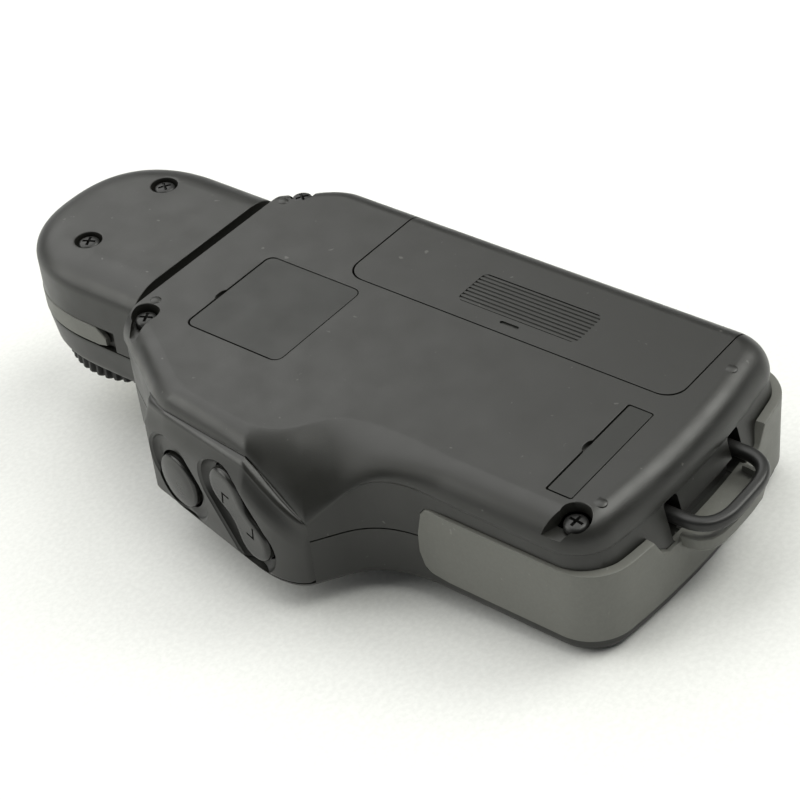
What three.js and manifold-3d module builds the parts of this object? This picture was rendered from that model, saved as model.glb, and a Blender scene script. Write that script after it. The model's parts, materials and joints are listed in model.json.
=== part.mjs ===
// Handheld light meter: a turning head with a white diffuser on a slim body.
//
// Every piece is laid out in the meter's own axes, in millimetres: +X towards the battery
// cover, +Y towards the head, +Z out of the flat back. X = 0 is the middle of the body, Y = 0
// the gap between head and body, Z = 0 the back face. The last lines lay the finished meter
// face down, resting on its diffuser and on the tail, with the origin under its middle.
import * as THREE from 'three';
import { mergeVertices } from 'three/addons/utils/BufferGeometryUtils.js';
import Module from 'manifold-3d';

const wasm = await Module();
wasm.setup();

// ---------------------------------------------------------------- driving dimensions (mm)
const GAP = 0.3;                 // clearance between neighbouring pieces
const WALL = 2.2;                // thickness of the moulded shells
const FAR = 90;                  // reach of cutting tools that must pass the whole meter
const REST_TILT = THREE.MathUtils.degToRad(5.2);   // head end raised by the diffuser

// body
const SIDE_X = 31.6;             // straight side walls
const NECK_X = 22.6;             // half width where the body meets the head
const NECK_Y = -0.9;
const TAIL_CORNER = 8.5;         // radius of the tail's corners
const TAIL_BACK_Y = -102.1;      // centre of those corners on the back
const TAIL_WALL_Y = -104.3;      // and on the wall below, which stands further out
const TAIL_FLARE_Z = -14;        // the tail's wall slopes out from the step to here
const TAIL_BULGE = 3.6;          // how far the tail's edge bows out between the corners
const BODY_DEPTH = 28;
const LIP = 0.4;                 // how far the back's rolled edge stands over the wall
const STEP_Z = -5.8;             // lower edge of the rolled edge
const BACK_ROLL = 5.6;
const FRONT_ROLL = 2;
const PARTING_Z = -16.5;

// the pod that carries the side buttons
const POD_FACE = new THREE.Vector2(-41.2, -25);   // its flat face passes through this point
const POD_TURN = THREE.MathUtils.degToRad(11.8);   // and looks this far towards the head
const POD_SEAM_INSET = 1.5;      // the back's edge stands this far inside the face
const POD_FLANK = { x: -39.3, y: -62.2, z: -9.3, normal: [-0.7, -0.28, 0.65], endY: -70 };
const PANEL = { headY: -16.8, tailY: -58.2, bottom: -26.2, top: -6.3, thickness: 2 };

// covers and plates let into the back
const BATTERY_COVER = { x: 5.9, y0: -103.3, y1: -29.3, corner: 4, thickness: 1.8 };
const DECK_Z = -2.1;
const LABEL = { x0: -22.1, x1: 3.3, y0: -36, y1: -13 };
const SERIAL = { x0: -24.8, x1: 1.1, y0: -102.1, y1: -96.8 };
const PLATE_THICKNESS = 0.7;

// tail
const BAND = { top: -9.2, bottom: -24.6, proud: 0.7, depth: 0.8, start: -73.4 };
const POCKET = { x: 12.6, y: -106.6, z0: -13.5, z1: -5.9 };
const SHELF = { x: 10.2, y: -120.4, corner: 4.5, top: -12.6, bottom: -15.6 };
const STRAP = { pivotY: -108.9, z: -9.7, x: 10.2, straightY: -115, tipY: -120.9, r: 1.3 };

// head
const HEAD = { x: 21.5, y0: 1.4, shoulderY: 16, tipY: 39.9, power: 2.35, depth: 24.9, roll: 8, drop: 5 };
const HEAD_PARTING_Z = -16.6;
const NECK_AXIS_Z = -12.5;
const NECK_R = 7;
const SENSOR_Y = 19.5;
const RING = { r: 19, bore: 13.6, top: -25.2, bottom: -28.8, ribs: 54, ribDepth: 0.9 };
const DOME = { r: 12, centreZ: -28, shell: 1.3 };

// side buttons: height, distance from POD_FACE along the face (positive towards the head)
const MEASURE = { z: -19.6, along: 0, r: 5.6, flangeR: 6.4, proud: 0.7 };
const ROCKER = { z: -15.8, along: -19.4, length: 18.6, width: 7.6, turn: 48, proud: 0.6 };

// battery and boards
const CELL = { x: 16.7, z: -11.5, r: 7.1, y0: -89.7, y1: -41.2 };
const BAY = { x0: 7.6, x1: 25.8, y0: -94.2, y1: -37.8, z0: -19.9, z1: -6.2, wall: 1.2 };
const BOARD = { x: 27, y0: -95.5, y1: -8, z0: -21.6, z1: -20.4 };

// front
const WINDOW = { x: 21, y0: -46, y1: -12, corner: 3 };
const KEYS = [
  ['power_key', -15, -58, 4.6], ['mode_key', 0, -58, 4.6], ['iso_key', 15, -58, 4.6],
  ['memory_key', -15, -76, 4.6], ['memory_clear_key', 0, -76, 4.6], ['average_key', 15, -76, 4.6],
];

// screws: x, y, z of the seat under the head
const BODY_SCREWS = [[-23.4, -4.2, -2.9], [23.6, -4.2, -2.9], [-27.2, -104.6, -3.4], [10.3, -99.5, -4.6]];
const HEAD_SCREWS = [[-11.3, 22.5, -2.1], [11.3, 22.5, -2.1]];
const SCREW = { headR: 2.2, headH: 1.5, shankR: 1.1, length: 17, cross: 0.7 };

// ---------------------------------------------------------------- solids and outlines
function solid(geometry) {
  geometry.deleteAttribute('normal');
  geometry.deleteAttribute('uv');
  const merged = mergeVertices(geometry, 1e-4);
  return new wasm.Manifold(new wasm.Mesh({
    numProp: 3,
    vertProperties: merged.attributes.position.array,
    triVerts: new Uint32Array(merged.index.array),
  }));
}

function geometryOf(body) {
  const mesh = body.getMesh();
  const geometry = new THREE.BufferGeometry();
  geometry.setAttribute('position', new THREE.BufferAttribute(mesh.vertProperties, 3));
  geometry.setIndex(new THREE.BufferAttribute(mesh.triVerts, 1));
  return geometry;
}

function block(x0, x1, y0, y1, z0, z1) {
  const box = new THREE.BoxGeometry(x1 - x0, y1 - y0, z1 - z0);
  return solid(box.translate((x0 + x1) / 2, (y0 + y1) / 2, (z0 + z1) / 2));
}

// Round bar along Z.
function rod(radius, z0, z1, x = 0, y = 0, sides = 20) {
  const bar = new THREE.CylinderGeometry(radius, radius, z1 - z0, sides);
  return solid(bar.rotateX(Math.PI / 2).translate(x, y, (z0 + z1) / 2));
}

// Round bar along Y.
function rodY(radius, y0, y1, x, z, sides = 20) {
  const bar = new THREE.CylinderGeometry(radius, radius, y1 - y0, sides);
  return solid(bar.translate(x, (y0 + y1) / 2, z));
}

// Round bar along X.
function rodX(radius, x0, x1, y, z, sides = 16) {
  const bar = new THREE.CylinderGeometry(radius, radius, x1 - x0, sides);
  return solid(bar.rotateZ(Math.PI / 2).translate((x0 + x1) / 2, y, z));
}

// A closed outline moved outwards (or inwards, when negative) by the same distance all round.
function grown(points, distance) {
  const count = points.length;
  return points.map((point, i) => {
    const before = point.clone().sub(points[(i + count - 1) % count]).normalize();
    const after = points[(i + 1) % count].clone().sub(point).normalize();
    const outward = new THREE.Vector2(before.y + after.y, -before.x - after.x);
    return point.clone().addScaledVector(outward, 2 * distance / outward.lengthSq());
  });
}

// The points of a path without the repeats where its curves meet.
function pointsOf(path, divisions) {
  const points = path.getPoints(divisions);
  return points.filter((point, i) => point.distanceTo(points[(i + 1) % points.length]) > 1e-3);
}

function prism(points, z0, z1) {
  const shape = new THREE.Shape(points);
  const body = new THREE.ExtrudeGeometry(shape, { depth: z1 - z0, bevelEnabled: false });
  return solid(body.translate(0, 0, z0));
}

// A slab with both rims rolled over: `roll` wide and `drop` deep.
function rolledSlab(points, z0, z1, roll, drop, steps = 3) {
  const body = new THREE.ExtrudeGeometry(new THREE.Shape(points), {
    depth: z1 - z0 - 2 * drop,
    bevelThickness: drop,
    bevelSize: roll,
    bevelOffset: -roll,
    bevelSegments: steps,
  });
  return solid(body.translate(0, 0, z0 + drop));
}

function roundedRectangle(x0, x1, y0, y1, r) {
  const path = new THREE.Path();
  path.absarc(x1 - r, y1 - r, r, 0, Math.PI / 2);
  path.absarc(x0 + r, y1 - r, r, Math.PI / 2, Math.PI);
  path.absarc(x0 + r, y0 + r, r, Math.PI, 1.5 * Math.PI);
  path.absarc(x1 - r, y0 + r, r, 1.5 * Math.PI, 2 * Math.PI);
  return pointsOf(path, 5);
}

// The pod's edge, from the neck towards the tail: on the wall, and on the back above it.
function podFaceX(y) {
  return POD_FACE.x + (y - POD_FACE.y) * Math.tan(POD_TURN);
}

function podWallEdge(path) {
  path.lineTo(-37.6, -17.7);
  path.quadraticCurveTo(podFaceX(-20.2), -20.2, podFaceX(-22.6), -22.6);
  path.lineTo(podFaceX(-46), -46);
  path.bezierCurveTo(podFaceX(-51), -51, -46.6, -56.6, -43.4, -58.8);
}

function podBackEdge(path) {
  const inset = POD_SEAM_INSET;
  path.lineTo(-36.8, -17);
  path.quadraticCurveTo(podFaceX(-20.2) + inset, -20.2, podFaceX(-22.6) + inset, -22.6);
  path.lineTo(podFaceX(-42) + inset, -42);
  path.bezierCurveTo(podFaceX(-51) + inset, -51, -43, -59.1, -40.2, -61);
}

// Plan of the body. It runs on past the neck, where it is cut.
function bodyOutline(podEdge, tailCentreY) {
  const path = new THREE.Path();
  path.moveTo(SIDE_X, -14);
  path.quadraticCurveTo(SIDE_X, -9.5, 28, -5.5);
  path.lineTo(NECK_X - 1, 2);
  path.lineTo(NECK_X - 1, 12);
  path.lineTo(1 - NECK_X, 12);
  path.lineTo(-26.1, 1.1);
  podEdge(path);
  path.lineTo(-38.6, -62.1);
  path.bezierCurveTo(-34.3, -65.1, -SIDE_X, -69.5, -SIDE_X, -79);
  path.lineTo(-SIDE_X, tailCentreY);
  const arcEnd = THREE.MathUtils.degToRad(82);
  const cornerX = SIDE_X - TAIL_CORNER;
  path.absarc(-cornerX, tailCentreY, TAIL_CORNER, Math.PI, Math.PI + arcEnd);
  const tailX = cornerX + TAIL_CORNER * Math.cos(arcEnd);
  const tailY = tailCentreY - TAIL_CORNER * Math.sin(arcEnd);
  path.quadraticCurveTo(0, tailY - TAIL_BULGE, tailX, tailY);
  path.absarc(cornerX, tailCentreY, TAIL_CORNER, -arcEnd, 0);
  return pointsOf(path, 7);
}

// Plan of the head: straight sides running into a superellipse at the tip.
function headOutline() {
  const points = [new THREE.Vector2(HEAD.x, -8)];
  const steps = 20;
  for (let i = 0; i <= steps; i += 1) {
    const angle = Math.PI * i / steps;
    const x = Math.sign(Math.cos(angle)) * Math.abs(Math.cos(angle)) ** (2 / HEAD.power);
    const y = Math.abs(Math.sin(angle)) ** (2 / HEAD.power);
    points.push(new THREE.Vector2(HEAD.x * x, HEAD.shoulderY + (HEAD.tipY - HEAD.shoulderY) * y));
  }
  points.push(new THREE.Vector2(-HEAD.x, -8));
  return points;
}

const WALL_OUTLINE = bodyOutline(podWallEdge, TAIL_WALL_Y);
const BACK_OUTLINE = grown(bodyOutline(podBackEdge, TAIL_BACK_Y), LIP);
const HEAD_OUTLINE = headOutline();

// The back's rolled plate, or the surface a given depth under it.
function backPlate(depth) {
  const roll = BACK_ROLL - depth;
  const plate = rolledSlab(grown(BACK_OUTLINE, -depth), STEP_Z - 12, -depth, roll, roll);
  return plate.subtract(block(-FAR, FAR, -2 * FAR, FAR, -FAR, STEP_Z));
}

// Turns a solid made on the pod's face (X up, Y towards the head, Z out) into the meter's axes.
function ontoPodFace(geometry) {
  return geometry.rotateY(-Math.PI / 2).rotateZ(-POD_TURN).translate(POD_FACE.x, POD_FACE.y, 0);
}

// What the pod's flank cuts off the tail side of the pod, a given depth further in.
function outsidePodFlank(depth) {
  const normal = new THREE.Vector3(...POD_FLANK.normal).normalize();
  const turn = new THREE.Quaternion().setFromUnitVectors(new THREE.Vector3(0, 0, 1), normal);
  const tool = new THREE.BoxGeometry(90, 90, 30).translate(0, 0, 15 - depth).applyQuaternion(turn);
  return solid(tool.translate(POD_FLANK.x, POD_FLANK.y, POD_FLANK.z))
    .intersect(block(-FAR, -20, POD_FLANK.endY, 0, -FAR, FAR));
}

// What the tail's wall leaves free where it slopes out below the step.
function outsideTailFlare(depth) {
  const rise = STEP_Z - TAIL_FLARE_Z;
  const shear = new THREE.Matrix4().makeShear(0, 0, 0, 0, 0, (TAIL_BACK_Y - TAIL_WALL_Y) / rise);
  const shape = new THREE.Shape(grown(WALL_OUTLINE, -depth));
  const flare = new THREE.ExtrudeGeometry(shape, { depth: rise, bevelEnabled: false });
  return block(-FAR, FAR, -2 * FAR, -85, TAIL_FLARE_Z, STEP_Z)
    .subtract(solid(flare.applyMatrix4(shear).translate(0, 0, TAIL_FLARE_Z)));
}

// The whole body as one lump, or the space a given depth inside it.
function bodyLump(depth) {
  const roll = Math.max(FRONT_ROLL - depth, 0.4);
  const wall = rolledSlab(grown(WALL_OUTLINE, -depth), depth - BODY_DEPTH, 6, roll, roll, 2);
  return wall.subtract(block(-FAR, FAR, -2 * FAR, FAR, STEP_Z, FAR))
    .subtract(outsideTailFlare(depth))
    .add(backPlate(depth))
    .subtract(outsidePodFlank(depth))
    .subtract(block(-FAR, FAR, NECK_Y - depth, FAR, -FAR, FAR));
}

function headLump(depth) {
  const points = grown(HEAD_OUTLINE, -depth);
  const softBack = rolledSlab(points, -FAR, -depth, HEAD.roll - depth, HEAD.drop - depth);
  const softFront = rolledSlab(points, depth - HEAD.depth, FAR, 2.6 - depth, 2.6 - depth, 2);
  return softBack.intersect(softFront)
    .subtract(block(-FAR, FAR, -FAR, HEAD.y0 + depth, -FAR, FAR));
}

// ---------------------------------------------------------------- materials
function finish(color, roughness, metalness = 0, extra = {}) {
  return new THREE.MeshStandardMaterial({ color, roughness, metalness, ...extra });
}

const FINISH = {
  shell: () => finish(0x57574f, 0.55),
  grip: () => finish(0x70706a, 0.6),
  panel: () => finish(0x45453f, 0.45),
  black: () => finish(0x0c0c0b, 0.5),
  key: () => finish(0x2a2a28, 0.5),
  plate: () => finish(0x4e4e48, 0.6),
  window: () => finish(0x1a2024, 0.1, 0, { transparent: true, opacity: 0.6 }),
  lcd: () => finish(0x8b9386, 0.35),
  board: () => finish(0x1f5a34, 0.5),
  steel: () => finish(0xb5b5b2, 0.3, 1),
  blackSteel: () => finish(0x1b1b1a, 0.35, 0.8),
  dome: () => finish(0xf2f1ea, 0.6),
  glass: () => finish(0xdfe8e6, 0.05, 0, { transparent: true, opacity: 0.5 }),
  cell: () => finish(0x8a8f93, 0.35, 0.6),
  cable: () => finish(0xb8762c, 0.5),
};

const meter = new THREE.Group();

function place(name, body, look, parent = meter) {
  const mesh = new THREE.Mesh(geometryOf(body), FINISH[look]());
  mesh.name = name;
  parent.add(mesh);
}

// ---------------------------------------------------------------- covers of the body
function screwWells(list, topZ) {
  return list.map(([x, y, seat]) => rod(SCREW.headR + 0.6, seat, topZ, x, y)
    .add(rod(SCREW.shankR + GAP, seat - FAR, seat + 0.1, x, y, 12)));
}

// The skin of the pod that the button panel fills, with a clearance all round it.
function podZone(clearance) {
  const { headY, tailY, bottom, top, thickness } = PANEL;
  return prism(grown(WALL_OUTLINE, 4), bottom - clearance, top + clearance)
    .subtract(prism(grown(WALL_OUTLINE, -thickness - clearance), -FAR, FAR))
    .intersect(block(-FAR, -30, tailY - clearance, headY + clearance, -FAR, FAR));
}

// The strip of side wall and tail that the grip band fills.
function bandZone(outerGrow, innerGrow, z0, z1, y) {
  return prism(grown(WALL_OUTLINE, outerGrow), z0, z1)
    .subtract(prism(grown(WALL_OUTLINE, innerGrow), z0 - 1, z1 + 1))
    .intersect(block(-FAR, FAR, -2 * FAR, y, -FAR, FAR));
}

function batteryCoverZone(grow) {
  const { x, y0, y1, corner } = BATTERY_COVER;
  const points = roundedRectangle(x - grow, FAR, y0 - grow, y1 + grow, corner);
  return prism(points, STEP_Z + 0.2 - grow, FAR);
}

const bodyShell = bodyLump(0).subtract(bodyLump(WALL));
const bandRecess = bandZone(4, -BAND.depth - GAP, BAND.bottom - GAP, BAND.top + GAP, BAND.start + GAP);
const panelWindow = podZone(GAP)
  .add(podRod(MEASURE.flangeR + 2 * GAP, -9, -2, MEASURE.z, MEASURE.along));

function rearCover() {
  const tubes = BODY_SCREWS.map(([x, y]) => rod(3.3, PARTING_Z + 0.5, -1, x, y));
  const pocketBlock = block(-POCKET.x - 1.6, POCKET.x + 1.6, -FAR * 2, POCKET.y + 1.4,
    PARTING_Z + GAP / 2, -1);
  const deck = backPlate(-DECK_Z).subtract(backPlate(1.7 - DECK_Z))
    .intersect(batteryCoverZone(1.8));
  const added = tubes.reduce((sum, tube) => sum.add(tube), pocketBlock).intersect(bodyLump(0));
  let cover = bodyShell.add(added).add(deck)
    .subtract(block(-FAR, FAR, -2 * FAR, FAR, -FAR, PARTING_Z + GAP / 2))
    .subtract(batteryCoverZone(0).subtract(backPlate(-DECK_Z)))
    .subtract(bandRecess)
    .subtract(panelWindow)
    .subtract(block(-POCKET.x, POCKET.x, -2 * FAR, POCKET.y, POCKET.z0, POCKET.z1))
    .subtract(rodY(NECK_R + 1.7, -6, 6, 0, NECK_AXIS_Z))
    .subtract(block(BAY.x0 + BAY.wall, BAY.x1 - BAY.wall, BAY.y0 + BAY.wall, BAY.y1 - BAY.wall,
      -12, 0));
  for (const plate of [LABEL, SERIAL]) {
    cover = cover.subtract(block(plate.x0, plate.x1, plate.y0, plate.y1, -PLATE_THICKNESS - GAP, 1));
  }
  for (const well of screwWells(BODY_SCREWS, 2)) cover = cover.subtract(well);
  place('rear_cover', cover, 'shell');
}

function frontCover() {
  const posts = BODY_SCREWS.map(([x, y]) => rod(2.9, -BODY_DEPTH + 1, PARTING_Z - 0.5, x, y)
    .intersect(bodyLump(0)));
  let cover = posts.reduce((sum, post) => sum.add(post), bodyShell)
    .subtract(block(-FAR, FAR, -2 * FAR, FAR, PARTING_Z - GAP / 2, FAR))
    .subtract(bandRecess)
    .subtract(panelWindow)
    .subtract(rodY(NECK_R + 1.7, -6, 6, 0, NECK_AXIS_Z))
    .subtract(prism(roundedRectangle(-WINDOW.x, WINDOW.x, WINDOW.y0, WINDOW.y1, WINDOW.corner),
      -BODY_DEPTH - 1, 1.3 - BODY_DEPTH + GAP))
    .subtract(block(4 - WINDOW.x, WINDOW.x - 4, WINDOW.y0 + 4, WINDOW.y1 - 4, -FAR, -24));
  for (const [, x, y, r] of KEYS) {
    cover = cover.subtract(rod(r + GAP, -BODY_DEPTH - 1, -24, x, y, 20));
  }
  for (const [x, y] of BODY_SCREWS) {
    cover = cover.subtract(rod(SCREW.shankR + GAP, -24, -10, x, y, 12));
  }
  const terminal = rodX(3.3 + GAP, SIDE_X - 4, SIDE_X + 4, -30, -20.4, 20);
  place('front_cover', cover.subtract(terminal), 'shell');
}

function gripBand() {
  const shelf = prism(roundedRectangle(-SHELF.x, SHELF.x, SHELF.y, -100, SHELF.corner),
    SHELF.bottom, SHELF.top);
  const band = bandZone(BAND.proud, -BAND.depth, BAND.bottom, BAND.top, BAND.start)
    .subtract(block(-POCKET.x - 1.4, POCKET.x + 1.4, -2 * FAR, 0, POCKET.z0 - 0.4, 0))
    .add(shelf.subtract(prism(grown(WALL_OUTLINE, GAP), -FAR, FAR)));
  place('grip_band', band, 'grip');
}

function batteryCover() {
  const skin = backPlate(0).subtract(backPlate(BATTERY_COVER.thickness));
  const thumbGrip = block(10.5, 19.9, -79.5, -52.6, -0.5, 1);
  place('battery_cover', skin.intersect(batteryCoverZone(-GAP)).subtract(thumbGrip), 'shell');
}

function backPlates() {
  for (const [name, plate] of [['label_plate', LABEL], ['serial_plate', SERIAL]]) {
    place(name, prism(roundedRectangle(plate.x0 + GAP, plate.x1 - GAP, plate.y0 + GAP,
      plate.y1 - GAP, 0.7), -PLATE_THICKNESS, -0.1), 'plate');
  }
}

// ---------------------------------------------------------------- side buttons
function onPodFace(geometry, z, along) {
  return solid(ontoPodFace(geometry.translate(z, along, 0)));
}

// A round step on the pod's face, between two heights above it.
function podRod(radius, low, high, z, along, sides = 24) {
  const bar = new THREE.CylinderGeometry(radius, radius, high - low, sides).rotateX(Math.PI / 2);
  return onPodFace(bar.translate(0, 0, (low + high) / 2), z, along);
}

function rockerOutline(grow) {
  const half = ROCKER.length / 2 - ROCKER.width / 2;
  const r = ROCKER.width / 2 + grow;
  const path = new THREE.Path();
  path.absarc(0, half, r, 0, Math.PI);
  path.absarc(0, -half, r, Math.PI, 2 * Math.PI);
  return pointsOf(path, 10);
}

function podTurned(geometry) {
  const turned = geometry.rotateZ(-THREE.MathUtils.degToRad(ROCKER.turn));
  return onPodFace(turned, ROCKER.z, ROCKER.along);
}

function rockerPrism(grow, low, high) {
  const shape = new THREE.Shape(rockerOutline(grow));
  const body = new THREE.ExtrudeGeometry(shape, { depth: high - low, bevelEnabled: false });
  return podTurned(body.translate(0, 0, low));
}

function sideButtons() {
  const panel = podZone(0).intersect(bodyLump(0))
    .subtract(podRod(MEASURE.r + GAP, -5, 5, MEASURE.z, MEASURE.along))
    .subtract(podRod(MEASURE.flangeR + GAP, -5, GAP - 2.4, MEASURE.z, MEASURE.along))
    .subtract(rockerPrism(0.4, -5, 5));
  place('button_panel', panel, 'panel');

  const profile = [[0, -4.6], [1.5, -4.6], [1.5, -3.2], [MEASURE.flangeR, -3.2],
    [MEASURE.flangeR, -2.4], [MEASURE.r, -2.4],
    [MEASURE.r, MEASURE.proud - 0.7], [MEASURE.r - 0.8, MEASURE.proud - 0.1], [2.6, MEASURE.proud],
    [0, MEASURE.proud]].map(([r, h]) => new THREE.Vector2(r, h));
  const button = new THREE.LatheGeometry(profile, 20).rotateX(Math.PI / 2);
  place('measuring_button', onPodFace(button, MEASURE.z, MEASURE.along), 'key');

  const lug = new THREE.BoxGeometry(5, 3, 2.6).translate(0, 0, -3.5);
  const pinHole = new THREE.CylinderGeometry(0.95, 0.95, 12, 12).rotateZ(Math.PI / 2);
  const pin = new THREE.CylinderGeometry(0.65, 0.65, 9, 12).rotateZ(Math.PI / 2);
  place('rocker_key', rockerPrism(0, -2.4, ROCKER.proud).add(podTurned(lug))
    .subtract(podTurned(pinHole.translate(0, 0, -3.6))), 'key');
  place('rocker_pin', podTurned(pin.translate(0, 0, -3.6)), 'steel');

  const sideBoard = new THREE.BoxGeometry(14, 34, 1).translate(-16.6, -10, -8);
  place('side_switch_board', solid(ontoPodFace(sideBoard)), 'board');
  const turn = THREE.MathUtils.degToRad(ROCKER.turn);
  const throwAlong = 6.4 * Math.cos(turn);
  const throwUp = 6.4 * Math.sin(turn);
  for (const [name, z, along, top] of [
    ['measuring_switch', MEASURE.z, MEASURE.along, -5.9],
    ['rocker_switch_up', ROCKER.z + throwUp, ROCKER.along + throwAlong, -3.4],
    ['rocker_switch_down', ROCKER.z - throwUp, ROCKER.along - throwAlong, -3.4],
  ]) {
    const housing = new THREE.BoxGeometry(4.5, 4.5, 1.3).translate(0, 0, -6.55);
    place(name, onPodFace(housing, z, along).add(podRod(1, -7, top, z, along, 12)), 'black');
  }
}

// ---------------------------------------------------------------- battery, boards, front
class Helix extends THREE.Curve {
  getPoint(t, target = new THREE.Vector3()) {
    const angle = 2 * Math.PI * 3 * t;
    const radius = 2.2 + 2.6 * t;
    return target.set(CELL.x + radius * Math.cos(angle), CELL.y0 - 0.75 - 1.9 * t,
      CELL.z + radius * Math.sin(angle));
  }
}

function batteryParts() {
  const bay = block(BAY.x0, BAY.x1, BAY.y0, BAY.y1, BAY.z0, BAY.z1)
    .subtract(block(BAY.x0 + BAY.wall, BAY.x1 - BAY.wall, BAY.y0 + BAY.wall, BAY.y1 - BAY.wall,
      BAY.z0 + 1, 0));
  place('battery_bay', bay, 'black');
  const nub = rodY(2.7, CELL.y1 - 0.1, CELL.y1 + 1, CELL.x, CELL.z, 16);
  place('battery_cell', rodY(CELL.r, CELL.y0, CELL.y1, CELL.x, CELL.z, 24).add(nub), 'cell');
  const plusY = BAY.y1 - BAY.wall - GAP;
  place('battery_plus_contact', block(CELL.x - 4.5, CELL.x + 4.5, plusY - 0.5, plusY, -16, -7), 'steel');
  const wire = new THREE.Shape().absarc(0, 0, 0.35, 0, 2 * Math.PI);
  place('battery_minus_spring', solid(new THREE.ExtrudeGeometry(wire, {
    steps: 36,
    extrudePath: new Helix(),
    curveSegments: 3,
  })), 'steel');
}

function innerParts() {
  place('main_circuit_board', block(-BOARD.x, BOARD.x, BOARD.y0, BOARD.y1, BOARD.z0, BOARD.z1)
    .subtract(block(-FAR, -22, -24, 0, -FAR, FAR)).subtract(block(22, FAR, -16, 0, -FAR, FAR)),
  'board');
  place('meter_chip', block(-18, -6, -62, -50, BOARD.z1 + GAP, BOARD.z1 + 2.3), 'black');
  place('cable_socket', block(-5, 5, -18, -14, BOARD.z1 + GAP, BOARD.z1 + 3), 'black');
  place('lcd_panel', block(3 - WINDOW.x, WINDOW.x - 3, WINDOW.y0 + 3, WINDOW.y1 - 3, -25.2, -22.2), 'lcd');
  place('keypad_mat', block(-22, 22, -83, -51, -24.2, -21.9), 'grip');
  place('display_window', prism(roundedRectangle(GAP - WINDOW.x, WINDOW.x - GAP, WINDOW.y0 + GAP,
    WINDOW.y1 - GAP, WINDOW.corner - GAP), -BODY_DEPTH, 1.3 - BODY_DEPTH), 'window');
  for (const [name, x, y, r] of KEYS) {
    const profile = [[0, -28.9], [r - 0.7, -28.9], [r, -28.2], [r, -25.6], [r + 0.8, -25.6],
      [r + 0.8, -24.9], [0, -24.9]].map(([radius, z]) => new THREE.Vector2(radius, z));
    const key = new THREE.LatheGeometry(profile, 16).rotateX(Math.PI / 2);
    place(name, solid(key.translate(x, y, 0)), 'key');
  }
  const terminal = rodX(3.3, 28, SIDE_X + 0.6, -30, -20.4, 20)
    .subtract(rodX(1.9, 29.5, SIDE_X + 2, -30, -20.4, 16))
    .add(rodX(0.7, 29, SIDE_X + 0.2, -30, -20.4, 8));
  place('sync_terminal', terminal, 'steel');
}

// ---------------------------------------------------------------- strap ring
function strapRing() {
  const { x, pivotY, z, straightY, tipY, r } = STRAP;
  const route = new THREE.CurvePath();
  const at = (px, py) => new THREE.Vector3(px, py, z);
  route.add(new THREE.LineCurve3(at(-x, pivotY), at(-x, straightY)));
  route.add(new THREE.CubicBezierCurve3(at(-x, straightY), at(-x, tipY + 1.6), at(-7, tipY), at(-3, tipY)));
  route.add(new THREE.LineCurve3(at(-3, tipY), at(3, tipY)));
  route.add(new THREE.CubicBezierCurve3(at(3, tipY), at(7, tipY), at(x, tipY + 1.6), at(x, straightY)));
  route.add(new THREE.LineCurve3(at(x, straightY), at(x, pivotY)));
  const section = new THREE.Shape().absarc(0, 0, r, 0, 2 * Math.PI);
  const loop = solid(new THREE.ExtrudeGeometry(section, {
    steps: 30,
    extrudePath: new THREE.CatmullRomCurve3(route.getSpacedPoints(24)),
    curveSegments: 4,
  }));
  let ring = loop;
  for (const side of [-x, x]) ring = ring.add(rodX(1.9, side - 1.5, side + 1.5, pivotY, z, 16));
  ring = ring.subtract(rodX(0.95, -FAR, FAR, pivotY, z, 12));
  place('strap_ring', ring, 'blackSteel');
  place('strap_pin', rodX(0.6, GAP - POCKET.x, POCKET.x - GAP, pivotY, z, 12), 'steel');
}

// ---------------------------------------------------------------- head
function headBandZone(outerGrow, innerGrow, trim) {
  return prism(grown(HEAD_OUTLINE, outerGrow), -16.2 - trim, -11.9 + trim)
    .subtract(prism(grown(HEAD_OUTLINE, innerGrow), -FAR, FAR))
    .subtract(block(-FAR, FAR, -FAR, 9 - trim, -FAR, FAR));
}

function headParts() {
  const shell = headLump(0).subtract(headLump(2));
  const neckHole = rodY(NECK_R + GAP, 0, 6, 0, NECK_AXIS_Z);
  const tubes = HEAD_SCREWS.map(([x, y]) => rod(3.2, HEAD_PARTING_Z + 0.5, -1, x, y));
  let rear = tubes.reduce((sum, tube) => sum.add(tube), shell)
    .subtract(block(-FAR, FAR, -FAR, FAR, -FAR, HEAD_PARTING_Z + GAP / 2))
    .subtract(headBandZone(4, -1.2, GAP))
    .subtract(neckHole);
  for (const well of screwWells(HEAD_SCREWS, 2)) rear = rear.subtract(well);
  place('head_rear_shell', rear, 'shell');

  const posts = HEAD_SCREWS.map(([x, y]) => rod(2.6, -HEAD.depth + 1, HEAD_PARTING_Z - 0.5, x, y));
  let front = posts.reduce((sum, post) => sum.add(post), shell)
    .subtract(block(-FAR, FAR, -FAR, FAR, HEAD_PARTING_Z - GAP / 2, FAR))
    .subtract(rod(8.4, -FAR, -20, 0, SENSOR_Y, 32))
    .subtract(neckHole);
  for (const [x, y] of HEAD_SCREWS) {
    front = front.subtract(rod(SCREW.shankR + GAP, -23.5, -10, x, y, 12));
  }
  place('head_front_shell', front, 'shell');
  place('head_band', headBandZone(0.1, -0.9, 0), 'grip');
}

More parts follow.
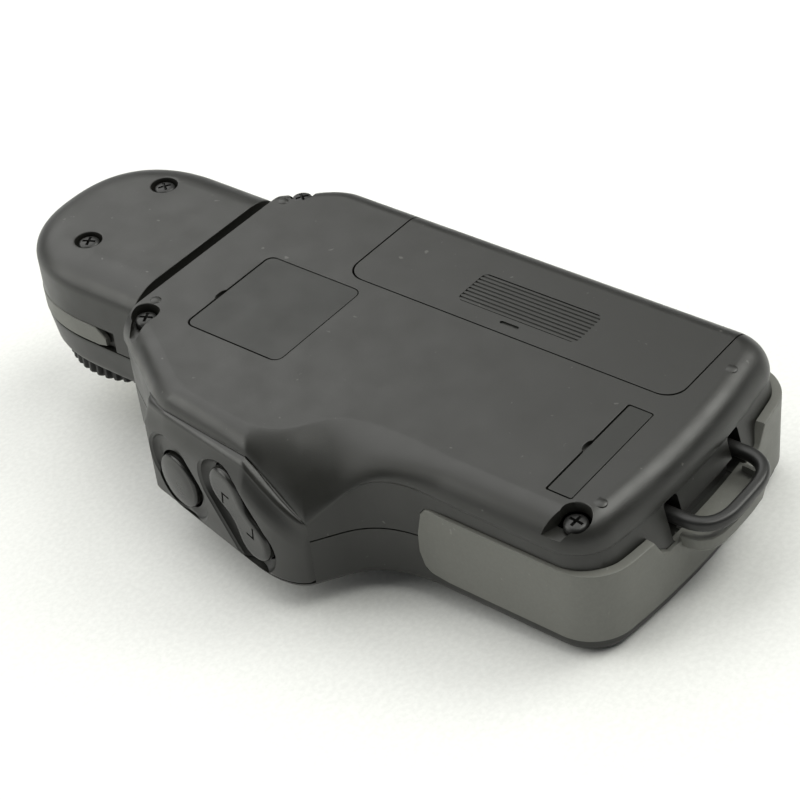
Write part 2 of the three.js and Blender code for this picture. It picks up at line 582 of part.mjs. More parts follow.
function sensorParts() {
  place('sensor_board', rod(8.2, -19.6, -18.6, 0, SENSOR_Y, 24), 'board');
  place('photocell', rod(5, -22.2, -19.9, 0, SENSOR_Y, 24), 'black');
  place('photocell_filter', rod(6, -23.6, -22.5, 0, SENSOR_Y, 24), 'glass');
  const rim = [];
  for (let i = 0; i < RING.ribs; i += 1) {
    for (const [share, drop] of [[0, 0], [0.45, 0], [0.6, RING.ribDepth], [0.85, RING.ribDepth]]) {
      const angle = 2 * Math.PI * (i + share) / RING.ribs;
      const r = RING.r - drop;
      rim.push(new THREE.Vector2(r * Math.cos(angle), SENSOR_Y + r * Math.sin(angle)));
    }
  }
  const ring = prism(rim, RING.bottom, RING.top)
    .subtract(rod(RING.bore, RING.bottom - 1, RING.top + 1, 0, SENSOR_Y, 32));
  place('locking_ring', ring, 'black');

  const profile = [];
  const steps = 6;
  const inner = DOME.r - DOME.shell;
  for (let i = 0; i <= steps; i += 1) {
    const angle = Math.PI / 2 * i / steps;
    profile.push(new THREE.Vector2(DOME.r * Math.sin(angle), DOME.centreZ - DOME.r * Math.cos(angle)));
  }
  profile.push(new THREE.Vector2(DOME.r + 1.3, DOME.centreZ), new THREE.Vector2(DOME.r + 1.3, RING.top));
  profile.push(new THREE.Vector2(inner, RING.top));
  for (let i = steps; i >= 0; i -= 1) {
    const angle = Math.PI / 2 * i / steps;
    profile.push(new THREE.Vector2(inner * Math.sin(angle), DOME.centreZ - inner * Math.cos(angle)));
  }
  const dome = new THREE.LatheGeometry(profile, 24).rotateX(Math.PI / 2);
  place('diffuser_dome', solid(dome.translate(0, SENSOR_Y, 0)), 'dome');
}

function neckParts() {
  const tube = rodY(NECK_R, -6.6, 6.6, 0, NECK_AXIS_Z)
    .subtract(rodY(NECK_R - 1.6, -7, 7, 0, NECK_AXIS_Z));
  place('neck_tube', tube, 'steel');
  const collar = (r, bore, y0, y1) => rodY(r, y0, y1, 0, NECK_AXIS_Z)
    .subtract(rodY(bore, y0 - 1, y1 + 1, 0, NECK_AXIS_Z));
  place('neck_bush', collar(NECK_R + 1.4, NECK_R + GAP, -3.4, -0.9), 'black');
  place('neck_spring_washer', collar(NECK_R + 3, NECK_R + GAP, -4.3, -3.8), 'steel');
  place('neck_retaining_ring', collar(NECK_R + 2, NECK_R + GAP, -5.8, -4.6), 'steel');
  const plate = (y0, y1) => block(-20, 20, y0, y1, -23, -2.4)
    .subtract(rodY(NECK_R + GAP, -3, 3, 0, NECK_AXIS_Z));
  place('body_neck_plate', plate(NECK_Y + GAP, 0.1), 'black');
  place('head_neck_plate', plate(0.4, HEAD.y0 - GAP), 'black');

  const strip = new THREE.Shape();
  const halfThick = 0.25;
  const cableZ = NECK_AXIS_Z;
  strip.moveTo(-12, cableZ - halfThick);
  strip.lineTo(9.75, cableZ - halfThick);
  strip.lineTo(12.75, -18.3);
  strip.lineTo(13.25, -18.3);
  strip.lineTo(10.1, cableZ + halfThick);
  strip.lineTo(-12, cableZ + halfThick);
  const cable = new THREE.ExtrudeGeometry(strip, { depth: 5, bevelEnabled: false })
    .translate(0, 0, -2.5).rotateY(Math.PI / 2).rotateX(Math.PI / 2);
  place('sensor_cable', solid(cable), 'cable');
}

// ---------------------------------------------------------------- screws
function screw(name, x, y, seat, length) {
  const cross = SCREW.cross / 2;
  const body = rod(SCREW.headR, seat, seat + SCREW.headH, x, y, 16)
    .translate(0, 0, GAP)
    .add(rod(SCREW.shankR, seat - length, seat + GAP + 0.5, x, y, 10))
    .subtract(block(x - 1.4, x + 1.4, y - cross, y + cross, seat + 1, seat + 4))
    .subtract(block(x - cross, x + cross, y - 1.4, y + 1.4, seat + 1, seat + 4));
  place(name, body, 'blackSteel');
}

rearCover();
frontCover();
gripBand();
batteryCover();
backPlates();
sideButtons();
batteryParts();
innerParts();
strapRing();
headParts();
sensorParts();
neckParts();
BODY_SCREWS.forEach(([x, y, seat], i) => screw(`body_screw_${i + 1}`, x, y, seat, SCREW.length));
HEAD_SCREWS.forEach(([x, y, seat], i) => screw(`head_screw_${i + 1}`, x, y, seat, SCREW.length));

// ---------------------------------------------------------------- lay it face down
meter.rotation.x = REST_TILT;
const group = new THREE.Group();
group.add(meter);
group.updateMatrixWorld(true);
const extent = new THREE.Box3().setFromObject(meter, true);
const middle = extent.getCenter(new THREE.Vector3());
meter.position.set(-middle.x, -middle.y, -extent.min.z);

export default group;
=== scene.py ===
# Handheld light meter: the looks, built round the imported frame.
#
# Shapes are made in the meter's own axes, in millimetres, and turned into the frame at the
# end: +X towards the battery cover, +Y towards the head, +Z out of the flat back. X = 0 is
# the middle of the body, Y = 0 the gap between head and body, Z = 0 the back face.
import json
from math import cos, pi, radians, sin, sqrt, tan

import bmesh
import bpy
from mathutils import Matrix, Vector


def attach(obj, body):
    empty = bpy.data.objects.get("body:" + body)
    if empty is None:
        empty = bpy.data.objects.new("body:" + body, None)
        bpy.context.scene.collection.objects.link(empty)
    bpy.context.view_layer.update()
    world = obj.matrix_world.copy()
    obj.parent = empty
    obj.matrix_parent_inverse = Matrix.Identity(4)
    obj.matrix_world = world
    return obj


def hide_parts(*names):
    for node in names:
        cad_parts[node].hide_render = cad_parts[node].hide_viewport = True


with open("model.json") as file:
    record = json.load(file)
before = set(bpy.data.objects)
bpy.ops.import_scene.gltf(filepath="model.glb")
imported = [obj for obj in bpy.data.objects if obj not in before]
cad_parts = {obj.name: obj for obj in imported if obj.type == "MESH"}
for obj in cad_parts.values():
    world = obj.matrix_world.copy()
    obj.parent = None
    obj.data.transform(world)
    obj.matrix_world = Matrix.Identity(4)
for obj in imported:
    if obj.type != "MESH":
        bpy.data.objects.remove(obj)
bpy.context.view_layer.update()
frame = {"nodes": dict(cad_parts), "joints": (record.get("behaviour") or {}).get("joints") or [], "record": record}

# ---------------------------------------------------------------- driving dimensions (mm)
MM = 0.001
GAP = 0.3
FAR = 90                    # past everything, for cutters
CASE_WALL = 2.2
HEAD_WALL = 2
DECK_DEPTHS = (2.1, 3.8)    # top and underside of the deck the battery cover lies on
SCREW_HOLE_R = 1.4
NECK_HOLE_R = 8.7           # in the body
NECK_TUBE_HOLE_R = 7.3      # in the head
BUTTON_HOLE_R = 6.1
PIN_HOLE_R = 0.95
PANEL_PROUD = 0.35
SHARP = 30                  # degrees, above which an edge is rounded
NECK_Y = -0.9
PARTING_Z = -16.5
BODY_DEPTH = 28
SIDE_X = 31.6
TAIL_CORNER = 8.5
TAIL_BOW = 3.6
TAIL_BACK_Y = -102.1
TAIL_WALL_Y = -104.3
TAIL_FLARE_Z = -14
POD_FACE = Vector((-41.2, -25, 0))
POD_TURN = radians(11.8)
PANEL_BOTTOM = -26.2
BAND = dict(top=-9.2, bottom=-24.6, proud=0.7, depth=0.8, start=-73.4, corner=2.7)
POCKET = dict(x=12.6, y=-106.6, z0=-14.2, z1=-5.85, half=1.95)
STRAP = dict(pivot_y=-108.9, z=-9.7, x=10.2, straight_y=-115, tip_y=-120.9, r=1.3)
BATTERY_COVER = dict(x=5.9, y0=-103.3, y1=-29.3, corner=4, thickness=1.8)
LABEL = (-22.1, 3.3, -36, -13)
SERIAL = (-24.8, 1.1, -102.1, -96.8)
PLATE_THICKNESS = 0.7
HEAD = dict(x=21.5, y0=1.4, shoulder=16, tip=39.9, power=2.35, depth=24.9, roll=8, drop=5)
HEAD_PARTING_Z = -16.6
SENSOR_Y = 19.5
NECK_AXIS_Z = -12.5
MEASURE = dict(z=-19.6, along=0, r=5.6)
ROCKER = dict(z=-15.8, along=-19.4, length=19.4, width=9, turn=radians(48))
WINDOW = dict(x=21, y0=-46, y1=-12, corner=3)
KEYS = {"power_key": (-15, -58), "mode_key": (0, -58), "iso_key": (15, -58),
        "memory_key": (-15, -76), "memory_clear_key": (0, -76), "average_key": (15, -76)}
KEY_R = 4.6
SOCKET = (-30, -20.4)       # Y and Z on the side wall
BODY_SCREWS = [(-23.4, -4.2, -2.9), (23.6, -4.2, -2.9), (-27.2, -104.6, -3.4),
               (10.3, -99.5, -4.6)]
HEAD_SCREWS = [(-11.3, 22.5, -2.1), (11.3, 22.5, -2.1)]
BEADS = [(-19.4, -3.3, 0), (19.2, -3, 0), (-22.7, -106.6, -0.15), (18.8, -106.9, -0.15)]

# The camera, in the meter's own axes.
CAMERA_PLACE = Vector((-233.874, -250.995, 232.143))
CAMERA_RIGHT = Vector((0.60431766, -0.79212033, -0.08570615))
CAMERA_DOWN = Vector((-0.5429122, -0.3306704, -0.77194781))
CAMERA_LENS = 93.8


def meter_matrix():
    """The meter's own axes, in millimetres, to the frame."""
    turn = next(j for j in frame["joints"] if j["name"] == "head_turn")
    y = Vector(turn["axis"]).normalized()
    x = Vector((1, 0, 0))
    z = x.cross(y)
    origin = Vector(turn["pos_m"]) / MM - HEAD["y0"] * y - NECK_AXIS_Z * z
    axes = Matrix((x, y, z)).transposed().to_4x4()
    axes.translation = origin
    return Matrix.Scale(MM, 4) @ axes


METER = meter_matrix()
NECK = Matrix.Translation((0, 0, NECK_AXIS_Z)) @ Matrix.Rotation(-pi / 2, 4, "X")


# ---------------------------------------------------------------- mesh tools
def mesh_object(name, verts, faces):
    mesh = bpy.data.meshes.new(name)
    mesh.from_pydata([tuple(v) for v in verts], [], faces)
    tidy_mesh(mesh)
    obj = bpy.data.objects.new(name, mesh)
    bpy.context.scene.collection.objects.link(obj)
    return obj


def tidy_mesh(mesh, merge=1e-5):
    """Welds points closer than merge and turns the skin outwards."""
    bm = bmesh.new()
    bm.from_mesh(mesh)
    bmesh.ops.remove_doubles(bm, verts=bm.verts, dist=merge)
    bmesh.ops.dissolve_degenerate(bm, edges=bm.edges, dist=merge)
    if bm.calc_volume(signed=True) < 0:
        bmesh.ops.reverse_faces(bm, faces=bm.faces)
    bm.to_mesh(mesh)
    bm.free()


def loft(name, rings):
    """A skin over rings of equally many points, with a flat cap at each end."""
    count = len(rings[0])
    verts = [p for ring in rings for p in ring]
    faces = []
    for k in range(len(rings) - 1):
        for i in range(count):
            j = (i + 1) % count
            faces.append((k * count + i, k * count + j, (k + 1) * count + j, (k + 1) * count + i))
    last = (len(rings) - 1) * count
    faces += [tuple(reversed(range(count))), tuple(range(last, last + count))]
    return mesh_object(name, verts, faces)


def lathe(name, profile, steps=48, place=Matrix.Identity(4)):
    """A solid of revolution about local Z, from (radius, height) pairs."""
    rings = []
    for r, h in profile:
        r = max(r, 1e-3)
        rings.append([place @ Vector((r * cos(2 * pi * i / steps), r * sin(2 * pi * i / steps), h))
                      for i in range(steps)])
    return loft(name, rings)


def box(name, x0, x1, y0, y1, z0, z1, place=Matrix.Identity(4)):
    ring = [(x0, y0), (x1, y0), (x1, y1), (x0, y1)]
    return loft(name, [[place @ Vector((x, y, z)) for x, y in ring] for z in (z0, z1)])


def flat(points, z):
    return [Vector((p[0], p[1], z)) for p in points]


def block(name, outline, z0, z1):
    """An upright block with a flat outline."""
    return loft(name, [flat(outline, z) for z in (z0, z1)])


def along_y(name, outline, y0, y1):
    """A bar along Y whose section is given in X and Z."""
    return loft(name, [[Vector((p[0], y, p[1])) for p in outline] for y in (y0, y1)])


def over(x, y, z=0):
    return Matrix.Translation((x, y, z))


def drill(r, low, high, steps, place):
    """A round cutter about local Z."""
    return lathe("cut", [(r, low), (r, high)], steps, place)


def grown(points, distance):
    """A closed outline moved outwards in plan; heights stay. distance may vary by point."""
    count = len(points)
    out = []
    for i, p in enumerate(points):
        before = Vector((p[0] - points[i - 1][0], p[1] - points[i - 1][1])).normalized()
        ahead = points[(i + 1) % count]
        after = Vector((ahead[0] - p[0], ahead[1] - p[1])).normalized()
        normal = Vector((before.y + after.y, -before.x - after.x))
        d = distance[i] if isinstance(distance, list) else distance
        step = normal * (2 * d / max(normal.length_squared, 1e-6))
        if step.length > 2 * abs(d):
            step *= 2 * abs(d) / step.length
        out.append(Vector((p[0] + step.x, p[1] + step.y, p[2] if len(p) > 2 else 0)))
    return out


def smooth(t):
    t = min(max(t, 0), 1)
    return t * t * (3 - 2 * t)


def rounded_rectangle(x0, x1, y0, y1, r, n=8):
    points = []
    for cx, cy, a in ((x1 - r, y1 - r, 0), (x0 + r, y1 - r, 90), (x0 + r, y0 + r, 180),
                      (x1 - r, y0 + r, 270)):
        for i in range(n + 1):
            angle = radians(a + 90 * i / n)
            points.append(Vector((cx + r * cos(angle), cy + r * sin(angle), 0)))
    return points


def stadium(length, width, waist=0, n=14):
    """A long round-ended outline along local Y; waist narrows its middle."""
    half, r = (length - width) / 2, width / 2
    points = [Vector((r * cos(pi * i / n), half + r * sin(pi * i / n), 0)) for i in range(n + 1)]
    points += [Vector((-r, half - 2 * half * i / n, 0)) for i in range(1, n)]
    points += [Vector((-r * cos(pi * i / n), -half - r * sin(pi * i / n), 0)) for i in range(n + 1)]
    points += [Vector((r, -half + 2 * half * i / n, 0)) for i in range(1, n)]
    for p in points:
        p.x *= 1 - waist * (1 - smooth(abs(p.y) / half))
    return points


def apply_modifiers(obj):
    graph = bpy.context.evaluated_depsgraph_get()
    mesh = bpy.data.meshes.new_from_object(obj.evaluated_get(graph))
    obj.modifiers.clear()
    old, obj.data = obj.data, mesh
    bpy.data.meshes.remove(old)


def drop(obj):
    mesh = obj.data
    bpy.data.objects.remove(obj)
    bpy.data.meshes.remove(mesh)


def combine(obj, *tools, kind="DIFFERENCE"):
    for tool in tools:
        step = obj.modifiers.new("step", "BOOLEAN")
        step.operation = kind
        step.solver = "EXACT"
        step.object = tool
        apply_modifiers(obj)
        drop(tool)
    tidy_mesh(obj.data, 1e-4)
    return obj


def copy_of(obj, name):
    new = bpy.data.objects.new(name, obj.data.copy())
    bpy.context.scene.collection.objects.link(new)
    return new


def round_edges(obj, width, test, segments=3):
    """Rounds the sharp edges whose two ends pass the test."""
    bm = bmesh.new()
    bm.from_mesh(obj.data)
    sharp = [e for e in bm.edges if len(e.link_faces) == 2
             and e.calc_face_angle(0) > radians(SHARP) and all(test(v.co) for v in e.verts)]
    bmesh.ops.bevel(bm, geom=sharp, offset=width, segments=segments, profile=0.5,
                    affect="EDGES", clamp_overlap=True)
    bm.to_mesh(obj.data)
    bm.free()
    return obj


def sink(outline, floor, lip):
    """A cutter for a recess in the back, with a mouth softly rounded by lip."""
    rings = [flat(outline, floor)]
    for i in range(5):
        angle = pi / 2 * i / 4
        rings.append(flat(grown(outline, lip * (1 - cos(angle))), -lip + lip * sin(angle)))
    rings.append(flat(grown(outline, lip), 2))
    return loft("cut", rings)


# ---------------------------------------------------------------- outlines of the body
def pod_x(y):
    """The pod's flat face, as X at a given Y."""
    return POD_FACE.x + (y - POD_FACE.y) * tan(POD_TURN)


def arc(cx, cy, r, a0, a1, z):
    """A quarter turn or less as one cubic curve."""
    k = 4 / 3 * tan(radians(a1 - a0) / 4) * r
    p0 = Vector((cx + r * cos(radians(a0)), cy + r * sin(radians(a0)), z))
    p3 = Vector((cx + r * cos(radians(a1)), cy + r * sin(radians(a1)), z))
    t0 = Vector((-sin(radians(a0)), cos(radians(a0)), 0))
    t3 = Vector((-sin(radians(a1)), cos(radians(a1)), 0))
    return [p0, p0 + k * t0, p3 - k * t3, p3]


# Points on each stretch of an outline: side, neck, diagonal, pod, flank, side, tail, side.
STRETCH = [8, 4, 1, 2, 4, 18, 12, 26, 26, 8, 26, 16, 18, 24, 18, 30]
SPREAD = sum(STRETCH)


def start_of(stretch):
    """The number of a stretch's first point."""
    return sum(STRETCH[:stretch])


def trace(segments):
    """One closed outline from its stretches, each a line, a quadratic or a cubic."""
    points = []
    for curve, count in zip(segments, STRETCH):
        curve = [Vector(tuple(p) + (0,) * (3 - len(p))) for p in curve]
        for i in range(count):
            level, t = curve, i / count
            while len(level) > 1:
                level = [a.lerp(b, t) for a, b in zip(level, level[1:])]
            points.append(level[0])
    return points


def tail(r, centre_y, z=0):
    """The two corners and the bowed edge between them."""
    cx = SIDE_X - TAIL_CORNER
    low, high = arc(-cx, centre_y, r, 180, 262, z), arc(cx, centre_y, r, 278, 360, z)
    middle = [low[-1], Vector((0, low[-1].y - TAIL_BOW, z)), high[0]]
    return low, middle, high


def wall_outline(centre_y):
    """The side wall; centre_y is where the tail's corners turn."""
    low, middle, high = tail(TAIL_CORNER, centre_y)
    return trace([
        [(SIDE_X, -14), (SIDE_X, -9.5), (28, -5.5)], [(28, -5.5), (21.6, 2)],
        [(21.6, 2), (21.6, 12)], [(21.6, 12), (-21.6, 12)], [(-21.6, 12), (-25.4, 1.1)],
        [(-25.4, 1.1), (-37.2, -18.2)],
        [(-37.2, -18.2), (pod_x(-20.2), -20.2), (pod_x(-23.6), -23.6)],
        [(pod_x(-23.6), -23.6), (pod_x(-46), -46)],
        [(pod_x(-46), -46), (pod_x(-51), -51), (-46.6, -56.6), (-43.4, -58.8)],
        [(-43.4, -58.8), (-38.6, -62.1)],
        [(-38.6, -62.1), (-34.3, -65.1), (-SIDE_X, -69.5), (-SIDE_X, -79)],
        [(-SIDE_X, -79), low[0]], low, middle, high, [high[-1], (SIDE_X, -14)],
    ])


def rim_outline():
    """Where the back's roll ends: over the wall, and along the button panel's top edge."""
    z = -5.6
    low, middle, high = tail(TAIL_CORNER + 0.4, TAIL_BACK_Y, z)
    x = SIDE_X + 0.4
    return trace([
        [(x, -14, z), (x, -9.3, z), (28.3, -5.2, z)], [(28.3, -5.2, z), (22, 2, z)],
        [(22, 2, z), (22, 12, z)], [(22, 12, z), (-22, 12, z)], [(-22, 12, z), (-25.7, 1.4, z)],
        [(-25.7, 1.4, z), (-37.1, -17.4, -4.9)],
        [(-37.1, -17.4, -4.9), (-39.2, -20.7, -4.4), (-39.9, -23.6, -4.1)],
        [(-39.9, -23.6, -4.1), (-42.3, -45, -3.5)],
        [(-42.3, -45, -3.5), (-42.6, -50.5, -7), (-43.4, -55.5, -10.4), (-43.6, -58.6, -12.3)],
        [(-43.6, -58.6, -12.3), (-38.8, -62, -8.8)],
        [(-38.8, -62, -8.8), (-34.8, -65.1, -5), (-32.5, -68.6, -3.5), (-32, -79, -5.4)],
        [(-32, -79, -5.4), low[0]], low, middle, high, [high[-1], (x, -14, z)],
    ])


def flat_outline():
    """Where the flat middle of the back ends."""
    low, middle, high = tail(3.3, TAIL_BACK_Y)
    x = 26.4
    return trace([
        [(x, -14), (x, -11.8), (24.2, -8.8)], [(24.2, -8.8), (16.4, 2)],
        [(16.4, 2), (16.4, 12)], [(16.4, 12), (-16.4, 12)], [(-16.4, 12), (-20.6, 0.6)],
        [(-20.6, 0.6), (-33.2, -20.4)],
        [(-33.2, -20.4), (-35.6, -24), (-36.6, -27)],
        [(-36.6, -27), (-38, -43.2)],
        [(-38, -43.2), (-37.7, -46.4), (-36.2, -49), (-33.6, -51)],
        [(-33.6, -51), (-30.4, -53.4)],
        [(-30.4, -53.4), (-25.6, -57), (-25.2, -66), (-26.4, -79)],
        [(-26.4, -79), low[0]], low, middle, high, [high[-1], (x, -14)],
    ])


WALL_LOW = wall_outline(TAIL_WALL_Y)
WALL_TOP = wall_outline(TAIL_BACK_Y)
RIM = rim_outline()
FLAT = flat_outline()


def roll_power(i):
    """2 is a round roll; towards 1 it becomes a facet with soft edges."""
    a, b, c = start_of(8), start_of(10), start_of(11)
    if i < a - 10 or i > c:
        return 2
    if i < a + 8:
        return 2 - 0.66 * smooth((i - a + 10) / 18)
    if i < b:
        return 1.34
    return 1.34 + 0.66 * smooth((i - b) / (c - b))


def roll_ring(angle, depth=0.0):
    """One ring of the back's rolled edge, from 0 on the flat to 90 degrees at the rim."""
    rim = grown(RIM, -depth)
    top = grown(FLAT, -depth * 0.3)
    ring = []
    for i, (r, f) in enumerate(zip(rim, top)):
        e = 2 / roll_power(i)
        s, c = sin(angle) ** e, max(cos(angle), 0) ** e
        z = -depth + (RIM[i].z + depth * 0.4) * (1 - c)
        ring.append(Vector((f.x + (r.x - f.x) * s, f.y + (r.y - f.y) * s, z)))
    return ring


def body_lump(name, depth=0.0, bottom=-BODY_DEPTH):
    """The whole body as one solid, or the space a given depth inside it."""
    steps = 14
    low, top = grown(WALL_LOW, -depth), grown(WALL_TOP, -depth)
    rings = []
    roll = max(2 - depth, 0.4)
    if bottom == -BODY_DEPTH:
        for i in range(6):
            angle = pi / 2 * i / 5
            rings.append(flat(grown(low, -roll * (1 - sin(angle))),
                              bottom + depth + roll * (1 - cos(angle))))
    else:
        rings.append(flat(low, bottom))
    rings.append(flat(low, TAIL_FLARE_Z))
    under = [Vector((p.x, p.y, min(RIM[i].z - 0.35, -5.7) if depth == 0 else RIM[i].z - 1))
             for i, p in enumerate(top)]
    rings.append(under)
    if depth == 0:
        rings.append([p.lerp(r, 0.7) + Vector((0, 0, -0.1)) for p, r in zip(under, RIM)])
    for i in range(steps, -1, -1):
        rings.append(roll_ring(pi / 2 * i / steps, depth))
    obj = loft(name, rings)
    return combine(obj, box("cut", -FAR, FAR, NECK_Y - depth, FAR, -FAR, FAR))


def strip(name, first, last, section):
    """A bar swept along the wall's outline; section(i, s) gives (outward, height) pairs."""
    count = len(WALL_LOW)
    rings, run, before = [], 0.0, None
    for i in range(first, last + 1):
        p = WALL_LOW[i % count]
        ahead, behind = WALL_LOW[(i + 1) % count], WALL_LOW[i - 1]
        t = Vector((ahead.x - behind.x, ahead.y - behind.y)).normalized()
        n = Vector((t.y, -t.x))
        run += 0 if before is None else (p - before).length
        before = p
        rings.append([Vector((p.x + n.x * o, p.y + n.y * o, z)) for o, z in section(i, run)])
    return loft(name, rings)


def run_length(first, last):
    return sum((WALL_LOW[i + 1] - WALL_LOW[i]).length for i in range(first, last))


# ---------------------------------------------------------------- the pod's face
FACE = Matrix(((0, sin(POD_TURN), -cos(POD_TURN), POD_FACE.x),
               (0, cos(POD_TURN), sin(POD_TURN), POD_FACE.y),
               (1, 0, 0, 0), (0, 0, 0, 1)))


def on_face(z, along, turn=0.0):
    """Local Y along the face towards the head, X up, Z out; turned about Z."""
    return FACE @ over(z, along) @ Matrix.Rotation(-turn, 4, "Z")


def face_loft(name, place, rings):
    return loft(name, [[place @ p for p in ring] for ring in rings])


# ---------------------------------------------------------------- materials
def material(name, colour, rough, metal=0.0, grain=None, mottle=0.05, wear=0.0, spots=0.0,
             specular=0.5, alpha=1.0, subsurface=0.0, stretch=(1, 1, 1), rough_spread=0.06):
    """A surface with its own grain, tone changes, dust and rubbed edges.
    grain is (size in mm, height 0..1); mottle, wear and spots are strengths."""
    mat = bpy.data.materials.new(name)
    mat.use_nodes = True
    tree = mat.node_tree
    link = tree.links.new
    shader = tree.nodes["Principled BSDF"]
    inputs = shader.inputs
    inputs["Metallic"].default_value = metal
    inputs["Specular IOR Level"].default_value = specular
    inputs["Alpha"].default_value = alpha
    inputs["IOR"].default_value = 1.46
    inputs["Subsurface Weight"].default_value = subsurface
    inputs["Subsurface Radius"].default_value = (0.004, 0.0035, 0.003)
    where = tree.nodes.new("ShaderNodeTexCoord")
    spread = tree.nodes.new("ShaderNodeMapping")
    spread.inputs["Scale"].default_value = stretch
    link(where.outputs["Object"], spread.inputs["Vector"])

    def noise(size_mm, detail, roughness=0.55):
        n = tree.nodes.new("ShaderNodeTexNoise")
        n.inputs["Scale"].default_value = 1000 / size_mm
        n.inputs["Detail"].default_value = detail
        n.inputs["Roughness"].default_value = roughness
        link(spread.outputs["Vector"], n.inputs["Vector"])
        return n

    def ramp(source, low, high, a, b):
        r = tree.nodes.new("ShaderNodeValToRGB")
        for stop, position, colour_here in zip(r.color_ramp.elements, (low, high), (a, b)):
            stop.position = position
            stop.color = colour_here
        link(source, r.inputs["Fac"])
        return r

    def mix(factor, a, b):
        m = tree.nodes.new("ShaderNodeMix")
        m.data_type = "RGBA"
        for value, socket in ((factor, m.inputs["Factor"]), (a, m.inputs[6]), (b, m.inputs[7])):
            if isinstance(value, (float, tuple)):
                socket.default_value = value
            else:
                link(value, socket)
        return m.outputs[2]

    def shade(k):
        """The surface's colour, lighter or darker."""
        return tuple(min(c * k, 1) for c in colour) + (1,)

    tone = ramp(noise(11, 4).outputs["Fac"], 0.3, 0.7, shade(1 - mottle), shade(1 + mottle))
    result = tone.outputs["Color"]
    if grain:
        speck = ramp(noise(grain[0] * 1.3, 2).outputs["Fac"], 0.35, 0.7, shade(0.93), shade(1.08))
        result = mix(0.5, result, speck.outputs["Color"])
    if wear:
        edge = tree.nodes.new("ShaderNodeNewGeometry")
        rubbed = ramp(edge.outputs["Pointiness"], 0.53, 0.6, (0, 0, 0, 1), (wear, wear, wear, 1))
        result = mix(rubbed.outputs["Color"], result, shade(2.2))
    if spots:
        dust = ramp(noise(1.6, 2, 0.4).outputs["Fac"], 0.74, 0.78, (0, 0, 0, 1),
                    (spots, spots, spots, 1))
        result = mix(dust.outputs["Color"], result, (0.35, 0.34, 0.32, 1))
    link(result, inputs["Base Color"])
    low, high = max(rough - rough_spread, 0.02), min(rough + rough_spread, 1)
    gloss = ramp(noise(7, 5).outputs["Fac"], 0.3, 0.7, (low,) * 3 + (1,), (high,) * 3 + (1,))
    link(gloss.outputs["Color"], inputs["Roughness"])
    if grain:
        bump = tree.nodes.new("ShaderNodeBump")
        bump.inputs["Strength"].default_value = grain[1]
        bump.inputs["Distance"].default_value = 0.00004
        link(noise(grain[0], 3, 0.6).outputs["Fac"], bump.inputs["Height"])
        link(bump.outputs["Normal"], inputs["Normal"])
    return mat


LOOKS = {
    "shell_plastic": material("shell_plastic", (0.0125, 0.0125, 0.0105), 0.38, grain=(0.28, 0.3),
                              wear=0.08, spots=0.15, specular=0.6),
    "grip_plastic": material("grip_plastic", (0.13, 0.131, 0.117), 0.5, grain=(0.5, 0.16),
                             mottle=0.03, spots=0.2),
    "panel_plastic": material("panel_plastic", (0.0125, 0.0125, 0.0105), 0.34, grain=(0.5, 0.1),
                              wear=0.1, specular=0.6),
    "black_plastic": material("black_plastic", (0.008, 0.008, 0.0075), 0.45, grain=(0.3, 0.25)),
    "key_plastic": material("key_plastic", (0.012, 0.012, 0.0105), 0.24, grain=(0.8, 0.05),
                            wear=0.15),
    "keypad_rubber": material("keypad_rubber", (0.11, 0.11, 0.11), 0.8, grain=(0.25, 0.3)),
    "plate_film": material("plate_film", (0.012, 0.0125, 0.0105), 0.38, grain=(0.4, 0.1),
                           mottle=0.03),
    "window_acrylic": material("window_acrylic", (0.03, 0.035, 0.04), 0.05, alpha=0.55,
                               specular=0.6, rough_spread=0.02),
    "lcd_glass": material("lcd_glass", (0.26, 0.29, 0.24), 0.2, mottle=0.03),
    "board_laminate": material("board_laminate", (0.03, 0.14, 0.06), 0.4, grain=(0.6, 0.2)),
    "bright_steel": material("bright_steel", (0.6, 0.6, 0.58), 0.28, metal=1.0,
                             grain=(0.3, 0.15), stretch=(1, 1, 8)),
    "black_steel": material("black_steel", (0.012, 0.012, 0.0115), 0.38, grain=(0.5, 0.12),
                            wear=0.15),
    "diffuser_plastic": material("diffuser_plastic", (0.86, 0.85, 0.8), 0.5, grain=(0.5, 0.1),
                                 subsurface=0.4, mottle=0.02),
    "filter_glass": material("filter_glass", (0.7, 0.78, 0.74), 0.04, alpha=0.4,
                             rough_spread=0.02),
    "cell_jacket": material("cell_jacket", (0.3, 0.32, 0.34), 0.3, metal=0.6, grain=(1, 0.05)),
    "cable_film": material("cable_film", (0.45, 0.2, 0.05), 0.3, grain=(0.8, 0.08)),
}
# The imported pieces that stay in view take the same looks.
for cad in frame["record"]["subparts"]:
    shown = frame["nodes"][cad["node"]]
    shown.data.materials.clear()
    shown.data.materials.append(LOOKS[cad["material_slot"]])


def finish_piece(obj, body, slot, *nodes, angle=34):
    """Turns a piece into the frame, shades it, hangs it on its body and hides the imported pieces it stands in
    for.
    """
    mesh = obj.data
    mesh.transform(METER)
    mesh.materials.clear()
    mesh.materials.append(LOOKS[slot])
    for polygon in mesh.polygons:
        polygon.use_smooth = True
        polygon.material_index = 0
    mesh.set_sharp_from_angle(angle=radians(angle))
    fair = obj.modifiers.new("fair", "WEIGHTED_NORMAL")
    fair.keep_sharp = True
    fair.weight = 60
    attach(obj, body)
    if nodes:
        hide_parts(*nodes)
    return obj


# ---------------------------------------------------------------- covers of the body
PANEL_FIRST = start_of(6) - 1
PANEL_LAST = start_of(9)
BAND_FIRST = next(i for i in range(start_of(10), SPREAD) if WALL_LOW[i].y < BAND["start"])
BAND_LAST = next(i for i in range(start_of(15), SPREAD) if WALL_LOW[i].y > BAND["start"])
BAND_RUN = run_length(BAND_FIRST, BAND_LAST)


